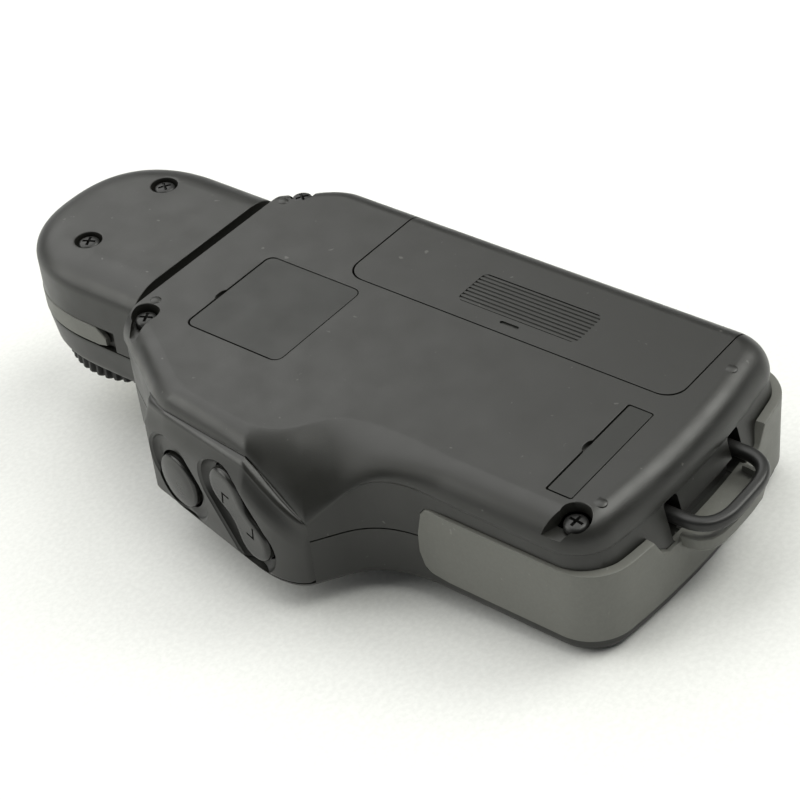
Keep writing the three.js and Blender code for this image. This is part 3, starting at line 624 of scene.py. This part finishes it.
def pod_rings(section):
    """Rings across the pod's wall; section gives the points of one, from its run along the
    wall, the wall and rim points there and the direction into the pod."""
    rings, run = [], 0.0
    for i in range(PANEL_FIRST, PANEL_LAST + 1):
        wall, rim = WALL_LOW[i], RIM[i]
        run += (wall - WALL_LOW[i - 1]).length if i > PANEL_FIRST else 0
        middle = Vector((-30, min(max(wall.y, -47), -24), 0))
        inward = (middle - wall).normalized()
        rings.append(section(run, wall, rim, inward))
    return rings


def at(p, z):
    """The same place in plan, at height z."""
    return Vector((p.x, p.y, z))


def pod_cutter():
    """The seat of the button panel."""
    def section(s, wall, rim, inward):
        top, bottom = rim.z - 0.05, PANEL_BOTTOM - GAP
        out, lip, deep = wall - inward * 4, rim + inward * 1.4, wall + inward * 2.3
        return [at(out, bottom), at(out, top), at(lip, top), at(lip, top - 3),
                at(deep, top - 5), at(deep, bottom)]
    return loft("cut", pod_rings(section))


def band_edges(i, s):
    """The grip band's top and bottom edge, round at its ends and stepped down at the ring."""
    end, top, bottom = min(s, BAND_RUN - s), BAND["top"], BAND["bottom"]
    if end < BAND["corner"]:
        k = 1 - sqrt(max(1 - (1 - end / BAND["corner"]) ** 2, 0))
        top, bottom = top - 6.3 * k, bottom + 4.1 * k
    p = WALL_LOW[i % SPREAD]
    if p.y < -100:
        top -= 4.7 * (1 - smooth((abs(p.x) - 15.4) / 2.4))
    return top, bottom, end


def band_cutter():
    """The seat of the grip band."""
    def section(i, s):
        top, bottom, _ = band_edges(i, s)
        top, bottom, floor = top + GAP / 2, bottom - GAP / 2, -BAND["depth"] - GAP
        return [(4, bottom), (4, top), (floor, top), (floor, bottom)]
    return strip("cut", BAND_FIRST, BAND_LAST, section)


def battery_outline(grow):
    """The battery cover's outline, open past the side wall."""
    x, y0, y1 = BATTERY_COVER["x"], BATTERY_COVER["y0"], BATTERY_COVER["y1"]
    return rounded_rectangle(x - grow, 60, y0 - grow, y1 + grow, BATTERY_COVER["corner"])


def teardrop(x, y, r, angle, reach):
    """A round well that runs out towards the rim."""
    a = radians(angle)
    points = []
    for i in range(33):
        t = a + pi * 0.62 + (2 * pi - 1.24 * pi) * i / 32
        points.append(Vector((x + r * cos(t), y + r * sin(t), 0)))
    points.append(Vector((x + reach * cos(a - 0.16), y + reach * sin(a - 0.16), 0)))
    points.append(Vector((x + reach * cos(a + 0.16), y + reach * sin(a + 0.16), 0)))
    return points


def strap_housing(cover, outside):
    """Solid walls at the tail, a hole for each leg of the ring, and a dip between them."""
    walls = along_y("walls", rounded_rectangle(
        -POCKET["x"] - 1.6, POCKET["x"] + 1.6, PARTING_Z + GAP / 2, -3.5, 1, 3),
        POCKET["y"] + 1.4, -2 * FAR)
    combine(walls, copy_of(outside, "cut"), kind="INTERSECT")
    combine(cover, walls, kind="UNION")
    holes = [along_y("cut", rounded_rectangle(leg - POCKET["half"], leg + POCKET["half"],
                                              POCKET["z0"], POCKET["z1"], 1.2, 6),
                     POCKET["y"], -2 * FAR) for leg in (-STRAP["x"], STRAP["x"])]
    dip = rounded_rectangle(-9, 9, POCKET["z0"], -10.3, 1, 5)
    combine(cover, *holes, along_y("cut", dip, -112.3, -2 * FAR))


def plate_seats(cover):
    """A shallow seat for each plate, with a notch in its edge towards the head."""
    floor = -PLATE_THICKNESS - GAP
    for (x0, x1, y0, y1), corner, share in ((LABEL, 1.9, 0.42), (SERIAL, 0.5, 0.5)):
        combine(cover, sink(rounded_rectangle(x0, x1, y0, y1, corner, 6), floor, 0.12))
        middle = x0 + (x1 - x0) * share
        notch = [Vector((middle + 1.6 * cos(pi * i / 10), y1 - 0.2 + 0.8 * sin(pi * i / 10), 0))
                 for i in range(11)]
        combine(cover, sink(notch, floor, 0.15))


def screw_wells(cover):
    """The screws' wells. Those that show run out towards the rim."""
    r = 2.8
    for (x, y, seat), angle, reach in zip(BODY_SCREWS, (196, -16, 149, 0), (6.5, 6.5, 7, 0)):
        if reach:
            combine(cover, sink(teardrop(x, y, r, angle, reach), seat, 0.2))
        combine(cover, lathe("cut", [(SCREW_HOLE_R, -30), (SCREW_HOLE_R, seat + 0.05),
                                     (r, seat + 0.06), (r, 3)], 32, over(x, y)))


def rear_cover():
    """The back shell, and the battery cover, which is a piece of the same outside."""
    cover = body_lump("rear_cover_shell", 0, PARTING_Z + GAP / 2)
    outside = copy_of(cover, "battery_cover_lid")
    inside = body_lump("inside", CASE_WALL, PARTING_Z - 3)
    deck_space = block("cut", battery_outline(0), -5.6, 5)
    deck_roof, deck_under = (body_lump("deck", d, PARTING_Z - 3) for d in DECK_DEPTHS)
    deck = copy_of(deck_roof, "deck")
    combine(deck, deck_under)
    combine(deck, block("cut", battery_outline(1.8), -6.5, 5), kind="INTERSECT")
    combine(cover, inside)
    combine(cover, deck, kind="UNION")
    combine(deck_space, deck_roof)
    combine(cover, deck_space, pod_cutter(), band_cutter())
    strap_housing(cover, outside)
    plate_seats(cover)
    screw_wells(cover)
    for place in BEADS:    # moulded marks beside the screws
        bead = lathe("bead", [(0.05, -2.6), (1.1, -2.6), (1.1, 0.05), (0.8, 0.22), (0.05, 0.28)],
                     24, over(*place))
        combine(cover, bead, kind="UNION")
    combine(cover, drill(NECK_HOLE_R, -6, 6, 40, NECK))
    combine(cover, box("cut", 8.8, 24.6, -93, -39, -12, -1.5))    # the way in for the cell
    round_edges(cover, 0.25, lambda p: p.y > NECK_Y - 0.02)
    finish_piece(cover, "meter_body", "shell_plastic", "rear_cover")
    battery_lid(outside)


def battery_lid(lid):
    """The battery cover, with a grooved thumb grip and a small mark beside it."""
    combine(lid, block("cut", battery_outline(-GAP), -5.4, 5), kind="INTERSECT")
    combine(lid, body_lump("inside", BATTERY_COVER["thickness"], PARTING_Z - 3))
    round_edges(lid, 0.12, lambda p: p.z > -0.05, 2)
    ribs, x0, x1, y0, y1, floor, crest = 9, 10.5, 19.9, -79.5, -52.6, -0.3, -0.06
    teeth = [(x0, 0.9), (x0, floor)]
    for i in range(ribs):
        x = x0 + (x1 - x0) * (i + 0.5) / ribs
        teeth += [(x - 0.38, floor), (x - 0.26, crest), (x + 0.26, crest), (x + 0.38, floor)]
    teeth += [(x1, floor), (x1, 0.9)]
    grooves = along_y("cut", teeth, y0, y1)
    patch = rounded_rectangle(x0 - 0.1, x1 + 0.1, y0 + 0.1, y1 - 0.1, 1.6)
    combine(grooves, block("patch", patch, -1, 2), kind="INTERSECT")
    combine(lid, grooves)
    combine(lid, loft("cut", [[p + Vector((8.9, -66, z)) for p in stadium(4.2, 0.8, 0, 6)]
                              for z in (-0.35, 0.6)]))
    finish_piece(lid, "battery_door", "shell_plastic", "battery_cover")


def front_cover():
    """The front shell, with its window, key holes, screw posts and sync socket."""
    cover = body_lump("front_cover_shell", 0)
    combine(cover, body_lump("inside", CASE_WALL))
    combine(cover, box("cut", -FAR, FAR, -2 * FAR, FAR, PARTING_Z - GAP / 2, FAR),
            pod_cutter(), band_cutter())
    x, y0, y1 = WINDOW["x"], WINDOW["y0"], WINDOW["y1"]
    frame_width = 4
    combine(cover, block("cut", rounded_rectangle(-x, x, y0, y1, WINDOW["corner"]),
                         -BODY_DEPTH - 1, 1.6 - BODY_DEPTH))
    inner = rounded_rectangle(frame_width - x, x - frame_width, y0 + frame_width,
                              y1 - frame_width, 1.5)
    combine(cover, block("cut", inner, -FAR, -20))
    for x, y in KEYS.values():
        r = KEY_R + GAP
        combine(cover, lathe("cut", [(r + 0.4, -30), (r + 0.4, -28), (r + 0.12, -27.7),
                                     (r, -27.4), (r, -20)], 40, over(x, y)))
    for x, y, _ in BODY_SCREWS:
        post = lathe("post", [(2.9, -27), (2.9, -17)], 24, over(x, y))
        combine(cover, post, kind="UNION")
        combine(cover, drill(SCREW_HOLE_R, -24, -10, 20, over(x, y)))
    socket = over(SIDE_X, *SOCKET) @ Matrix.Rotation(pi / 2, 4, "Y")
    combine(cover, lathe("cut", [(3.6, -4), (3.6, -0.3), (3.9, 0), (3.9, 3)], 40, socket))
    combine(cover, drill(NECK_HOLE_R, -6, 6, 40, NECK))
    round_edges(cover, 0.25, lambda p: p.y > NECK_Y - 0.02)
    finish_piece(cover, "meter_body", "shell_plastic", "front_cover")


def grip_band():
    """The lighter band round the tail, with the tray under the strap ring."""
    def section(i, s):
        top, bottom, end = band_edges(i, s)
        y = WALL_LOW[i % SPREAD].y
        r = 0.35
        o = 0.1 + (BAND["proud"] - 0.1) * smooth(end / 7)
        d = -BAND["depth"] - 0.3 * smooth((-95 - y) / 5)
        return [(d, bottom), (o - r, bottom), (o - r * 0.3, bottom + r * 0.3), (o, bottom + r),
                (o, (top + bottom) / 2), (o, top - r), (o - r * 0.3, top - r * 0.3),
                (o - r, top), (d, top)]
    band = strip("grip_band_tail", BAND_FIRST, BAND_LAST, section)
    outline = [(-10.9, -113), (-10.9, -116), (-10.5, -118), (-9, -119.7), (-6.6, -120.5),
               (-3, -120.8), (3, -120.8), (6.6, -120.5), (9, -119.7), (10.5, -118),
               (10.9, -116), (10.9, -113)]
    tray = loft("tray", [flat(grown(outline, g), z) for z, g in (
        (-15.7, -0.6), (-15.4, -0.2), (-14.9, 0), (-12.9, 0), (-12.6, -0.3))])
    combine(tray, loft("cut", [flat(grown(outline, g), z) for z, g in (
        (-13.8, -1.3), (-12, -1.0))]))
    combine(tray, block("cut", grown(WALL_LOW, 0.3), -40, 20))
    combine(band, tray, kind="UNION")
    finish_piece(band, "meter_body", "grip_plastic", "grip_band")


def plates():
    """The two blank plates of the back, a little below its face."""
    for name, (x0, x1, y0, y1), corner in (("label_plate", LABEL, 1.7),
                                           ("serial_plate", SERIAL, 0.4)):
        outline = rounded_rectangle(x0 + GAP, x1 - 0.15, y0 + 0.15, y1 - GAP, corner, 6)
        rings = [flat(outline, -PLATE_THICKNESS), flat(outline, -0.2),
                 flat(grown(outline, -0.05), -0.1), flat(grown(outline, -0.15), -0.07)]
        finish_piece(loft(name + "_film", rings), "meter_body", "plate_film", name)


# ---------------------------------------------------------------- side buttons
def recess(centre_z, centre_along, length, width, depth, wall):
    """A long shallow dish on the pod's face, lying along the rocker's slant."""
    rings = []
    for g, h in ((-wall, -depth), (-wall * 0.75, -depth * 0.97), (-wall * 0.4, -depth * 0.8),
                 (-wall * 0.12, -depth * 0.4), (0, -0.05), (0.35, 0.12), (0.8, 0.6), (0.9, 4)):
        rings.append([p + Vector((0, 0, h)) for p in grown(stadium(length, width), g)])
    return face_loft("cut", on_face(centre_z, centre_along, ROCKER["turn"]), rings)


def button_panel():
    """The pod's panel, the round measuring button and the long rocker."""
    total = run_length(PANEL_FIRST, PANEL_LAST)
    end_round, end_depth, most_proud = 1.6, 1.3, 2.6
    outwards = Vector((-cos(POD_TURN), sin(POD_TURN), 0))

    def section(s, wall, rim, inward):
        o = PANEL_PROUD
        if wall.y > -40:    # the face runs on flat past the corner of the wall
            reach = max(-inward.dot(outwards), 0.3)
            o = (PANEL_PROUD - (at(wall, 0) - POD_FACE).dot(outwards)) / reach
        o = min(o, most_proud) - 0.3 * smooth(1 - (total - s))
        if s < end_round:
            bulge = sqrt(max(1 - (1 - s / end_round) ** 2, 0))
            o = -end_depth + (o + end_depth) * bulge
        top, bottom = rim.z - 0.22, PANEL_BOTTOM
        start = min(-8.5, top - 6)
        skin = wall - inward * o
        points = [at(wall + inward * 2, bottom), at(skin + inward * 0.7, bottom),
                  at(skin + inward * 0.2, bottom + 0.2), at(skin, bottom + 0.7)]
        points += [at(skin, z) for z in (-22, (start - 22) / 2, start)]
        lip = 1.5
        lean = top - lip - start
        for t, share in ((0.25, 0.05), (0.5, 0.17), (0.75, 0.33), (1, 0.5)):
            points.append(at(skin.lerp(rim, share), start + lean * t))
        for k in range(1, 7):
            a = pi / 2 * k / 6
            points.append(at(skin.lerp(rim, 1 - 0.5 * cos(a)), top - lip + lip * sin(a)))
        return points + [at(rim + inward * 0.5, top - 0.6), at(rim + inward, top - 2.2),
                         at(wall + inward * 2, min(-12, top - 4))]
    panel = loft("button_panel_moulding", pod_rings(section))
    turn, length, width = ROCKER["turn"], ROCKER["length"], ROCKER["width"]
    side = Vector((-sin(turn), cos(turn)))
    combine(panel, recess(-18.2, -0.6, 18, 12.4, 0.9, 1.3))
    combine(panel, recess(ROCKER["z"] + side.x * 1.3, ROCKER["along"] + side.y * 1.3,
                          23.6, 12.4, 1.6, 2.0))
    hole = on_face(MEASURE["z"], MEASURE["along"])
    combine(panel, drill(BUTTON_HOLE_R, -6, 6, 48, hole))
    slot = on_face(ROCKER["z"], ROCKER["along"], turn)
    combine(panel, face_loft("cut", slot, [[p + Vector((0, 0, h)) for p in
                                            grown(stadium(length, width, 0.26), 0.4)]
                                           for h in (-6, 6)]))
    finish_piece(panel, "meter_body", "panel_plastic", "button_panel")

    r = MEASURE["r"]
    profile = [(1.5, -4.6), (1.5, -3.2), (6.0, -3.2), (6.0, -2.5), (r, -2.4), (r, -0.2)]
    for k in range(1, 8):
        a = pi / 2 * k / 7
        profile.append((r - 0.9 * (1 - cos(a)), -0.2 + 0.55 * sin(a)))
    profile += [(4.2, 0.5), (3.2, 0.61), (2.0, 0.68), (0.9, 0.7), (0.0, 0.7)]
    button = lathe("measuring_button_cap", profile, 64, hole)
    finish_piece(button, "measuring_button", "key_plastic", "measuring_button")

    outline = stadium(length, width, 0.28, 20)
    rings = []
    for g, h in ((0, -2.4), (0, -0.5), (-0.06, -0.15), (-0.22, 0.12), (-0.5, 0.3), (-0.95, 0.4),
                 (-1.6, 0.43), (-2.3, 0.38)):
        rings.append([p + Vector((0, 0, h + 0.1 * smooth(abs(p.y) / 8)))
                      for p in grown(outline, g)])
    rocker = face_loft("rocker_key_cap", slot, rings)
    lug = box("lug", -2.5, 2.5, -1.5, 1.5, -4.8, -2, slot)
    combine(rocker, lug, kind="UNION")
    pin = slot @ over(0, 0, -3.6) @ Matrix.Rotation(pi / 2, 4, "Y")
    combine(rocker, drill(PIN_HOLE_R, -6, 6, 24, pin))
    for sign in (1, -1):
        corner = slot @ over(-0.9 * sign, 4.9 * sign, 0.1) @ Matrix.Rotation(
            -turn + (0 if sign > 0 else pi), 4, "Z")
        combine(rocker, box("cut", -0.22, 0.22, -2.6, 0.22, 0, 1, corner),
                box("cut", -0.22, 1.9, -0.22, 0.22, 0, 1, corner))
    finish_piece(rocker, "rocker_key", "key_plastic", "rocker_key")


# ---------------------------------------------------------------- strap ring
def strap_ring():
    """A bent wire with an eye on each leg, on the pin through the tail."""
    x, y0, y1, tip, z = (STRAP[k] for k in ("x", "pivot_y", "straight_y", "tip_y", "z"))
    path = []
    for a, b, c, d, n in (((-x, y0), (-x, y0 - 2), (-x, y1 + 2), (-x, y1), 8),
                          ((-x, y1), (-x, tip + 1.6), (-7, tip), (-3, tip), 18),
                          ((-3, tip), (-1, tip - 0.05), (1, tip - 0.05), (3, tip), 8),
                          ((3, tip), (7, tip), (x, tip + 1.6), (x, y1), 18),
                          ((x, y1), (x, y1 + 2), (x, y0 - 2), (x, y0), 8)):
        for i in range(n):
            t = i / n
            u = 1 - t
            path.append(Vector([u ** 3 * a[k] + 3 * u * u * t * b[k] + 3 * u * t * t * c[k]
                                + t ** 3 * d[k] for k in (0, 1)]))
    path.append(Vector((x, y0)))
    rings = []
    for i, p in enumerate(path):
        t = (path[min(i + 1, len(path) - 1)] - path[max(i - 1, 0)]).normalized()
        n = Vector((t.y, -t.x))
        ring = []
        for k in range(20):
            a = 2 * pi * k / 20
            c, s = cos(a), sin(a)
            across = STRAP["r"] * abs(c) ** 0.8 * (1 if c > 0 else -1)
            up = 1.25 * abs(s) ** 0.8 * (1 if s > 0 else -1)
            ring.append(Vector((p.x + n.x * across, p.y + n.y * across, z + up)))
        rings.append(ring)
    ring = loft("strap_ring_wire", rings)
    for side in (-x, x):
        place = over(side, y0, z) @ Matrix.Rotation(pi / 2, 4, "Y")
        combine(ring, lathe("eye", [(1.6, -1.5), (1.9, -1.2), (1.9, 1.2), (1.6, 1.5)], 32, place),
                kind="UNION")
    pin = over(0, y0, z) @ Matrix.Rotation(pi / 2, 4, "Y")
    combine(ring, drill(PIN_HOLE_R, -FAR, FAR, 24, pin))
    finish_piece(ring, "strap_ring", "black_steel", "strap_ring")


# ---------------------------------------------------------------- head
def head_outline(grow=0.0):
    """The head's outline, straight at the neck and fuller than round at the tip."""
    steps = 96
    x, shoulder, tip, power = HEAD["x"], HEAD["shoulder"], HEAD["tip"], HEAD["power"]
    points = [Vector((x, -8 + (shoulder + 8) * i / 10, 0)) for i in range(10)]
    for i in range(steps + 1):
        a = pi * i / steps
        c, s = cos(a), sin(a)
        points.append(Vector((x * abs(c) ** (2 / power) * (1 if c >= 0 else -1),
                              shoulder + (tip - shoulder) * abs(s) ** (2 / power), 0)))
    points += [Vector((-x, shoulder - (shoulder + 8) * i / 10, 0)) for i in range(1, 11)]
    return grown(points, grow)


def head_half(name, rear, depth=0.0):
    """The head above its parting line, or below it; depth gives the space inside."""
    rings, past = [], 3 if depth else 0
    if rear:
        for z, g in ((HEAD_PARTING_Z + GAP / 2 - past, -0.1), (-16.2, 0.1), (-11, 0.05), (-7, 0)):
            rings.append(flat(head_outline(g - depth), z))
        width, drop_by = HEAD["roll"], HEAD["drop"]
        for i in range(14, -1, -1):
            a = pi / 2 * i / 14
            s, c = sin(a) ** 0.95, cos(a) ** 0.95 if i < 14 else 0
            rings.append(flat(head_outline(-depth - (width - depth) * (1 - s)),
                              -depth - drop_by * (1 - c)))
    else:
        roll = 2.6
        for i in range(7):
            a = pi / 2 * i / 6
            rings.append(flat(head_outline(-depth - 0.7 - roll * (1 - sin(a))),
                              depth - HEAD["depth"] + roll * (1 - cos(a))))
        rings.append(flat(head_outline(-depth), -17.2))
        rings.append(flat(head_outline(-depth - 0.1), HEAD_PARTING_Z - GAP / 2 + past))
    return combine(loft(name, rings),
                   box("cut", -FAR, FAR, -FAR, HEAD["y0"] + depth, -FAR, FAR))


def head():
    """The two shells of the turning head and the band between them."""
    rear = head_half("head_rear_cover", True)
    combine(rear, head_half("inside", True, HEAD_WALL))
    for x, y, seat in HEAD_SCREWS:
        combine(rear, lathe("tube", [(3.2, -16), (3.2, -1)], 32, over(x, y)), kind="UNION")
        combine(rear, lathe("cut", [(SCREW_HOLE_R, -30), (SCREW_HOLE_R, seat + 0.05),
                                    (2.75, seat + 0.06), (2.75, -0.3), (2.85, -0.1), (3.1, 0.0),
                                    (3.2, 2)], 40, over(x, y)))
    groove = block("cut", head_outline(4), -16.5, -11.6)
    combine(groove, block("core", head_outline(-1.2), -20, 0),
            box("cut", -FAR, FAR, -FAR, 8.7, -FAR, FAR))
    combine(rear, groove)
    combine(rear, drill(NECK_TUBE_HOLE_R, 0, 6, 40, NECK))
    round_edges(rear, 0.45, lambda p: p.y < HEAD["y0"] + 0.02)
    finish_piece(rear, "head", "shell_plastic", "head_rear_shell")

    front = head_half("head_front_cover", False)
    combine(front, head_half("inside", False, HEAD_WALL))
    for x, y, _ in HEAD_SCREWS:
        combine(front, lathe("post", [(2.6, -23.5), (2.6, -17)], 24, over(x, y)), kind="UNION")
        combine(front, drill(SCREW_HOLE_R, -22, -10, 20, over(x, y)))
    combine(front, drill(8.4, -30, -18, 48, over(0, SENSOR_Y)))
    combine(front, drill(NECK_TUBE_HOLE_R, 0, 6, 40, NECK))
    round_edges(front, 0.45, lambda p: p.y < HEAD["y0"] + 0.02)
    finish_piece(front, "head", "shell_plastic", "head_front_shell")
    head_grip()


def head_grip():
    """The lighter band round the head's tip, in the groove of the rear shell."""
    points = head_outline(0)
    first = next(i for i, p in enumerate(points) if p.y > 9)
    last = max(i for i, p in enumerate(points) if p.y > 9)
    total = sum((points[i + 1] - points[i]).length for i in range(first, last))
    rings, run = [], 0.0
    for i in range(first, last + 1):
        p = points[i]
        t = (points[i + 1] - points[i - 1]).normalized()
        n = Vector((t.y, -t.x, 0))
        run += (p - points[i - 1]).length if i > first else 0
        end = min(run, total - run)
        corner = 2.0
        k = 1 - sqrt(max(1 - (1 - end / corner) ** 2, 0)) if end < corner else 0
        top, bottom = -11.9 - 1.9 * k, -16.2 + 0.6 * k
        o, d, r = 0.18, -0.9, 0.2
        rings.append([p + n * a + Vector((0, 0, z)) for a, z in (
            (d, bottom), (o - r, bottom), (o, bottom + r), (o, (top + bottom) / 2),
            (o, top - r), (o - r, top), (d, top))])
    finish_piece(loft("head_grip_band", rings), "head", "grip_plastic", "head_band")


def diffuser():
    """The knurled locking ring and the hollow dome it holds."""
    place = over(0, SENSOR_Y)
    ribs, per = 54, 8
    rise = [1, 1, 1, 0.7, 0.1, 0, 0.1, 0.7]

    def rim(extra, depth):
        points = []
        for i in range(ribs * per):
            r = 19 - depth * (1 - rise[i % per]) * 0.9 + extra
            a = 2 * pi * i / (ribs * per)
            points.append(place @ Vector((r * cos(a), r * sin(a), 0)))
        return points
    rings = [[p + Vector((0, 0, z)) for p in rim(extra, depth)] for z, extra, depth in (
        (-28.8, -1.2, 0.2), (-28.6, -0.6, 0.6), (-28.2, -0.1, 1), (-27.9, 0, 1),
        (-26.0, 0, 1), (-25.7, -0.1, 1), (-25.4, -0.6, 0.6), (-25.2, -1.3, 0.2))]
    ring = loft("locking_ring_knurled", rings)
    combine(ring, lathe("cut", [(14.4, -30), (14.4, -28.8), (13.7, -28.2), (13.6, -27.8),
                                (13.6, -24)], 96, place))
    finish_piece(ring, "diffuser", "black_plastic", "locking_ring", angle=40)

    def bowl(r):
        return [(r * sin(pi / 2 * i / 18), -28 - r * cos(pi / 2 * i / 18)) for i in range(19)]
    r, shell = 12, 1.3
    profile = bowl(r) + [(12.9, -27.95), (13.2, -27.8), (13.3, -27.5), (13.3, -25.2),
                         (r - shell, -25.2)] + bowl(r - shell)[::-1]
    dome = lathe("diffuser_dome_opal", profile, 72, place)
    finish_piece(dome, "diffuser", "diffuser_plastic", "diffuser_dome")


# ---------------------------------------------------------------- keys and screws
def keys():
    """The six keys of the front, each with a dished top and a collar behind its hole."""
    r = KEY_R
    for name, (x, y) in KEYS.items():
        profile = [(0.0, -28.6), (1.5, -28.64), (2.8, -28.76), (3.5, -28.86), (4.0, -28.9),
                   (4.3, -28.8), (4.5, -28.55), (r, -28.2), (r, -25.6), (r + 0.8, -25.6),
                   (r + 0.8, -24.9), (0.0, -24.9)]
        cap = lathe(name + "_cap", profile, 40, over(x, y))
        finish_piece(cap, name, "key_plastic", name)


def screws():
    """Small pan heads with a cross slot."""
    for group, body, seats in (("body_screw_", "meter_body", BODY_SCREWS),
                               ("head_screw_", "head", HEAD_SCREWS)):
        for i, (x, y, seat) in enumerate(seats):
            base = seat + GAP
            profile = [(0.0, seat - 17), (0.7, seat - 16.6), (1.1, seat - 16), (1.1, base),
                       (2.15, base), (2.2, base + 0.15), (2.2, base + 0.75), (2.05, base + 1.1),
                       (1.7, base + 1.33), (1.1, base + 1.45), (0.0, base + 1.5)]
            place = over(x, y) @ Matrix.Rotation(radians(25 + 31 * i), 4, "Z")
            piece = lathe(f"{group}{i + 1}_pan_head", profile, 40, place)
            for turn in (0, pi / 2):
                blade = place @ Matrix.Rotation(turn, 4, "Z")
                rings = [[blade @ Vector((px * w, py, z)) for px, py in (
                    (-1, -0.3), (1, -0.3), (1, 0.3), (-1, 0.3))]
                    for w, z in ((0.5, base + 0.3), (1.35, base + 1.2), (1.45, base + 2))]
                combine(piece, loft("cut", rings))
            finish_piece(piece, body, "black_steel", f"{group}{i + 1}")


rear_cover()
front_cover()
grip_band()
plates()
button_panel()
strap_ring()
head()
diffuser()
keys()
screws()


# ---------------------------------------------------------------- floor, lights, camera
def stage():
    reach = 3.0
    floor = mesh_object("floor", [(-reach, -reach, 0), (reach, -reach, 0), (reach, reach, 0),
                                  (-reach, reach, 0)], [(0, 1, 2, 3)])
    floor.data.materials.append(material("floor_paper", (0.74, 0.745, 0.73), 0.9, mottle=0.01,
                                         grain=(0.8, 0.12), specular=0.2))
    world = bpy.data.worlds.new("studio")
    bpy.context.scene.world = world
    world.use_nodes = True
    tree = world.node_tree
    tree.nodes["Background"].inputs["Strength"].default_value = 1
    heights = tree.nodes.new("ShaderNodeSeparateXYZ")
    haze = tree.nodes.new("ShaderNodeValToRGB")
    for stop, position, level in zip(haze.color_ramp.elements, (0.06, 0.2), (0.75, 0.11)):
        stop.position = position
        stop.color = (0.97 * level, 0.985 * level, level, 1)
    tree.links.new(tree.nodes.new("ShaderNodeTexCoord").outputs["Generated"], heights.inputs[0])
    tree.links.new(heights.outputs["Z"], haze.inputs["Fac"])
    tree.links.new(haze.outputs["Color"], tree.nodes["Background"].inputs["Color"])
    sun = bpy.data.lights.new("sky", "SUN")
    sun.energy = 1.0
    sun.angle = radians(60)
    sky = bpy.data.objects.new("sky", sun)
    bpy.context.scene.collection.objects.link(sky)
    sky.rotation_euler = Vector((-0.15, -0.55, -0.85)).to_track_quat("-Z", "Y").to_euler()
    for name, spot, size, power in (
            ("over", (0.15, 0.6, 0.9), 1.8, 9.4), ("right", (0.68, -0.46, 0.82), 0.6, 6.6),
            ("left", (-0.75, 0.8, 0.6), 0.8, 6), ("crown", (0.05, -0.5, 0.95), 0.5, 3.4)):
        light = bpy.data.lights.new(name, "AREA")
        light.shape = "SQUARE"
        light.size = size
        light.energy = power
        light.color = (0.995, 1, 0.95)
        lamp = bpy.data.objects.new(name, light)
        bpy.context.scene.collection.objects.link(lamp)
        lamp.location = spot
        aim = Vector((spot[0], spot[1] - 0.25, 0)) if name == "over" else Vector((0, 0, 0.02))
        lamp.rotation_euler = (aim - Vector(spot)).to_track_quat("-Z", "Y").to_euler()


def camera():
    data = bpy.data.cameras.new("camera")
    data.sensor_width = 36
    data.lens = CAMERA_LENS
    data.clip_start = 0.01
    view = bpy.data.objects.new("camera", data)
    bpy.context.scene.collection.objects.link(view)
    ahead = CAMERA_RIGHT.cross(-CAMERA_DOWN) * -1
    axes = Matrix((CAMERA_RIGHT, -CAMERA_DOWN, -ahead)).transposed().to_4x4()
    turn = METER.to_3x3().normalized().to_4x4()
    view.matrix_world = Matrix.Translation(METER @ CAMERA_PLACE) @ turn @ axes
    bpy.context.scene.camera = view


stage()
camera()
bpy.context.scene.view_settings.view_transform = "Standard"
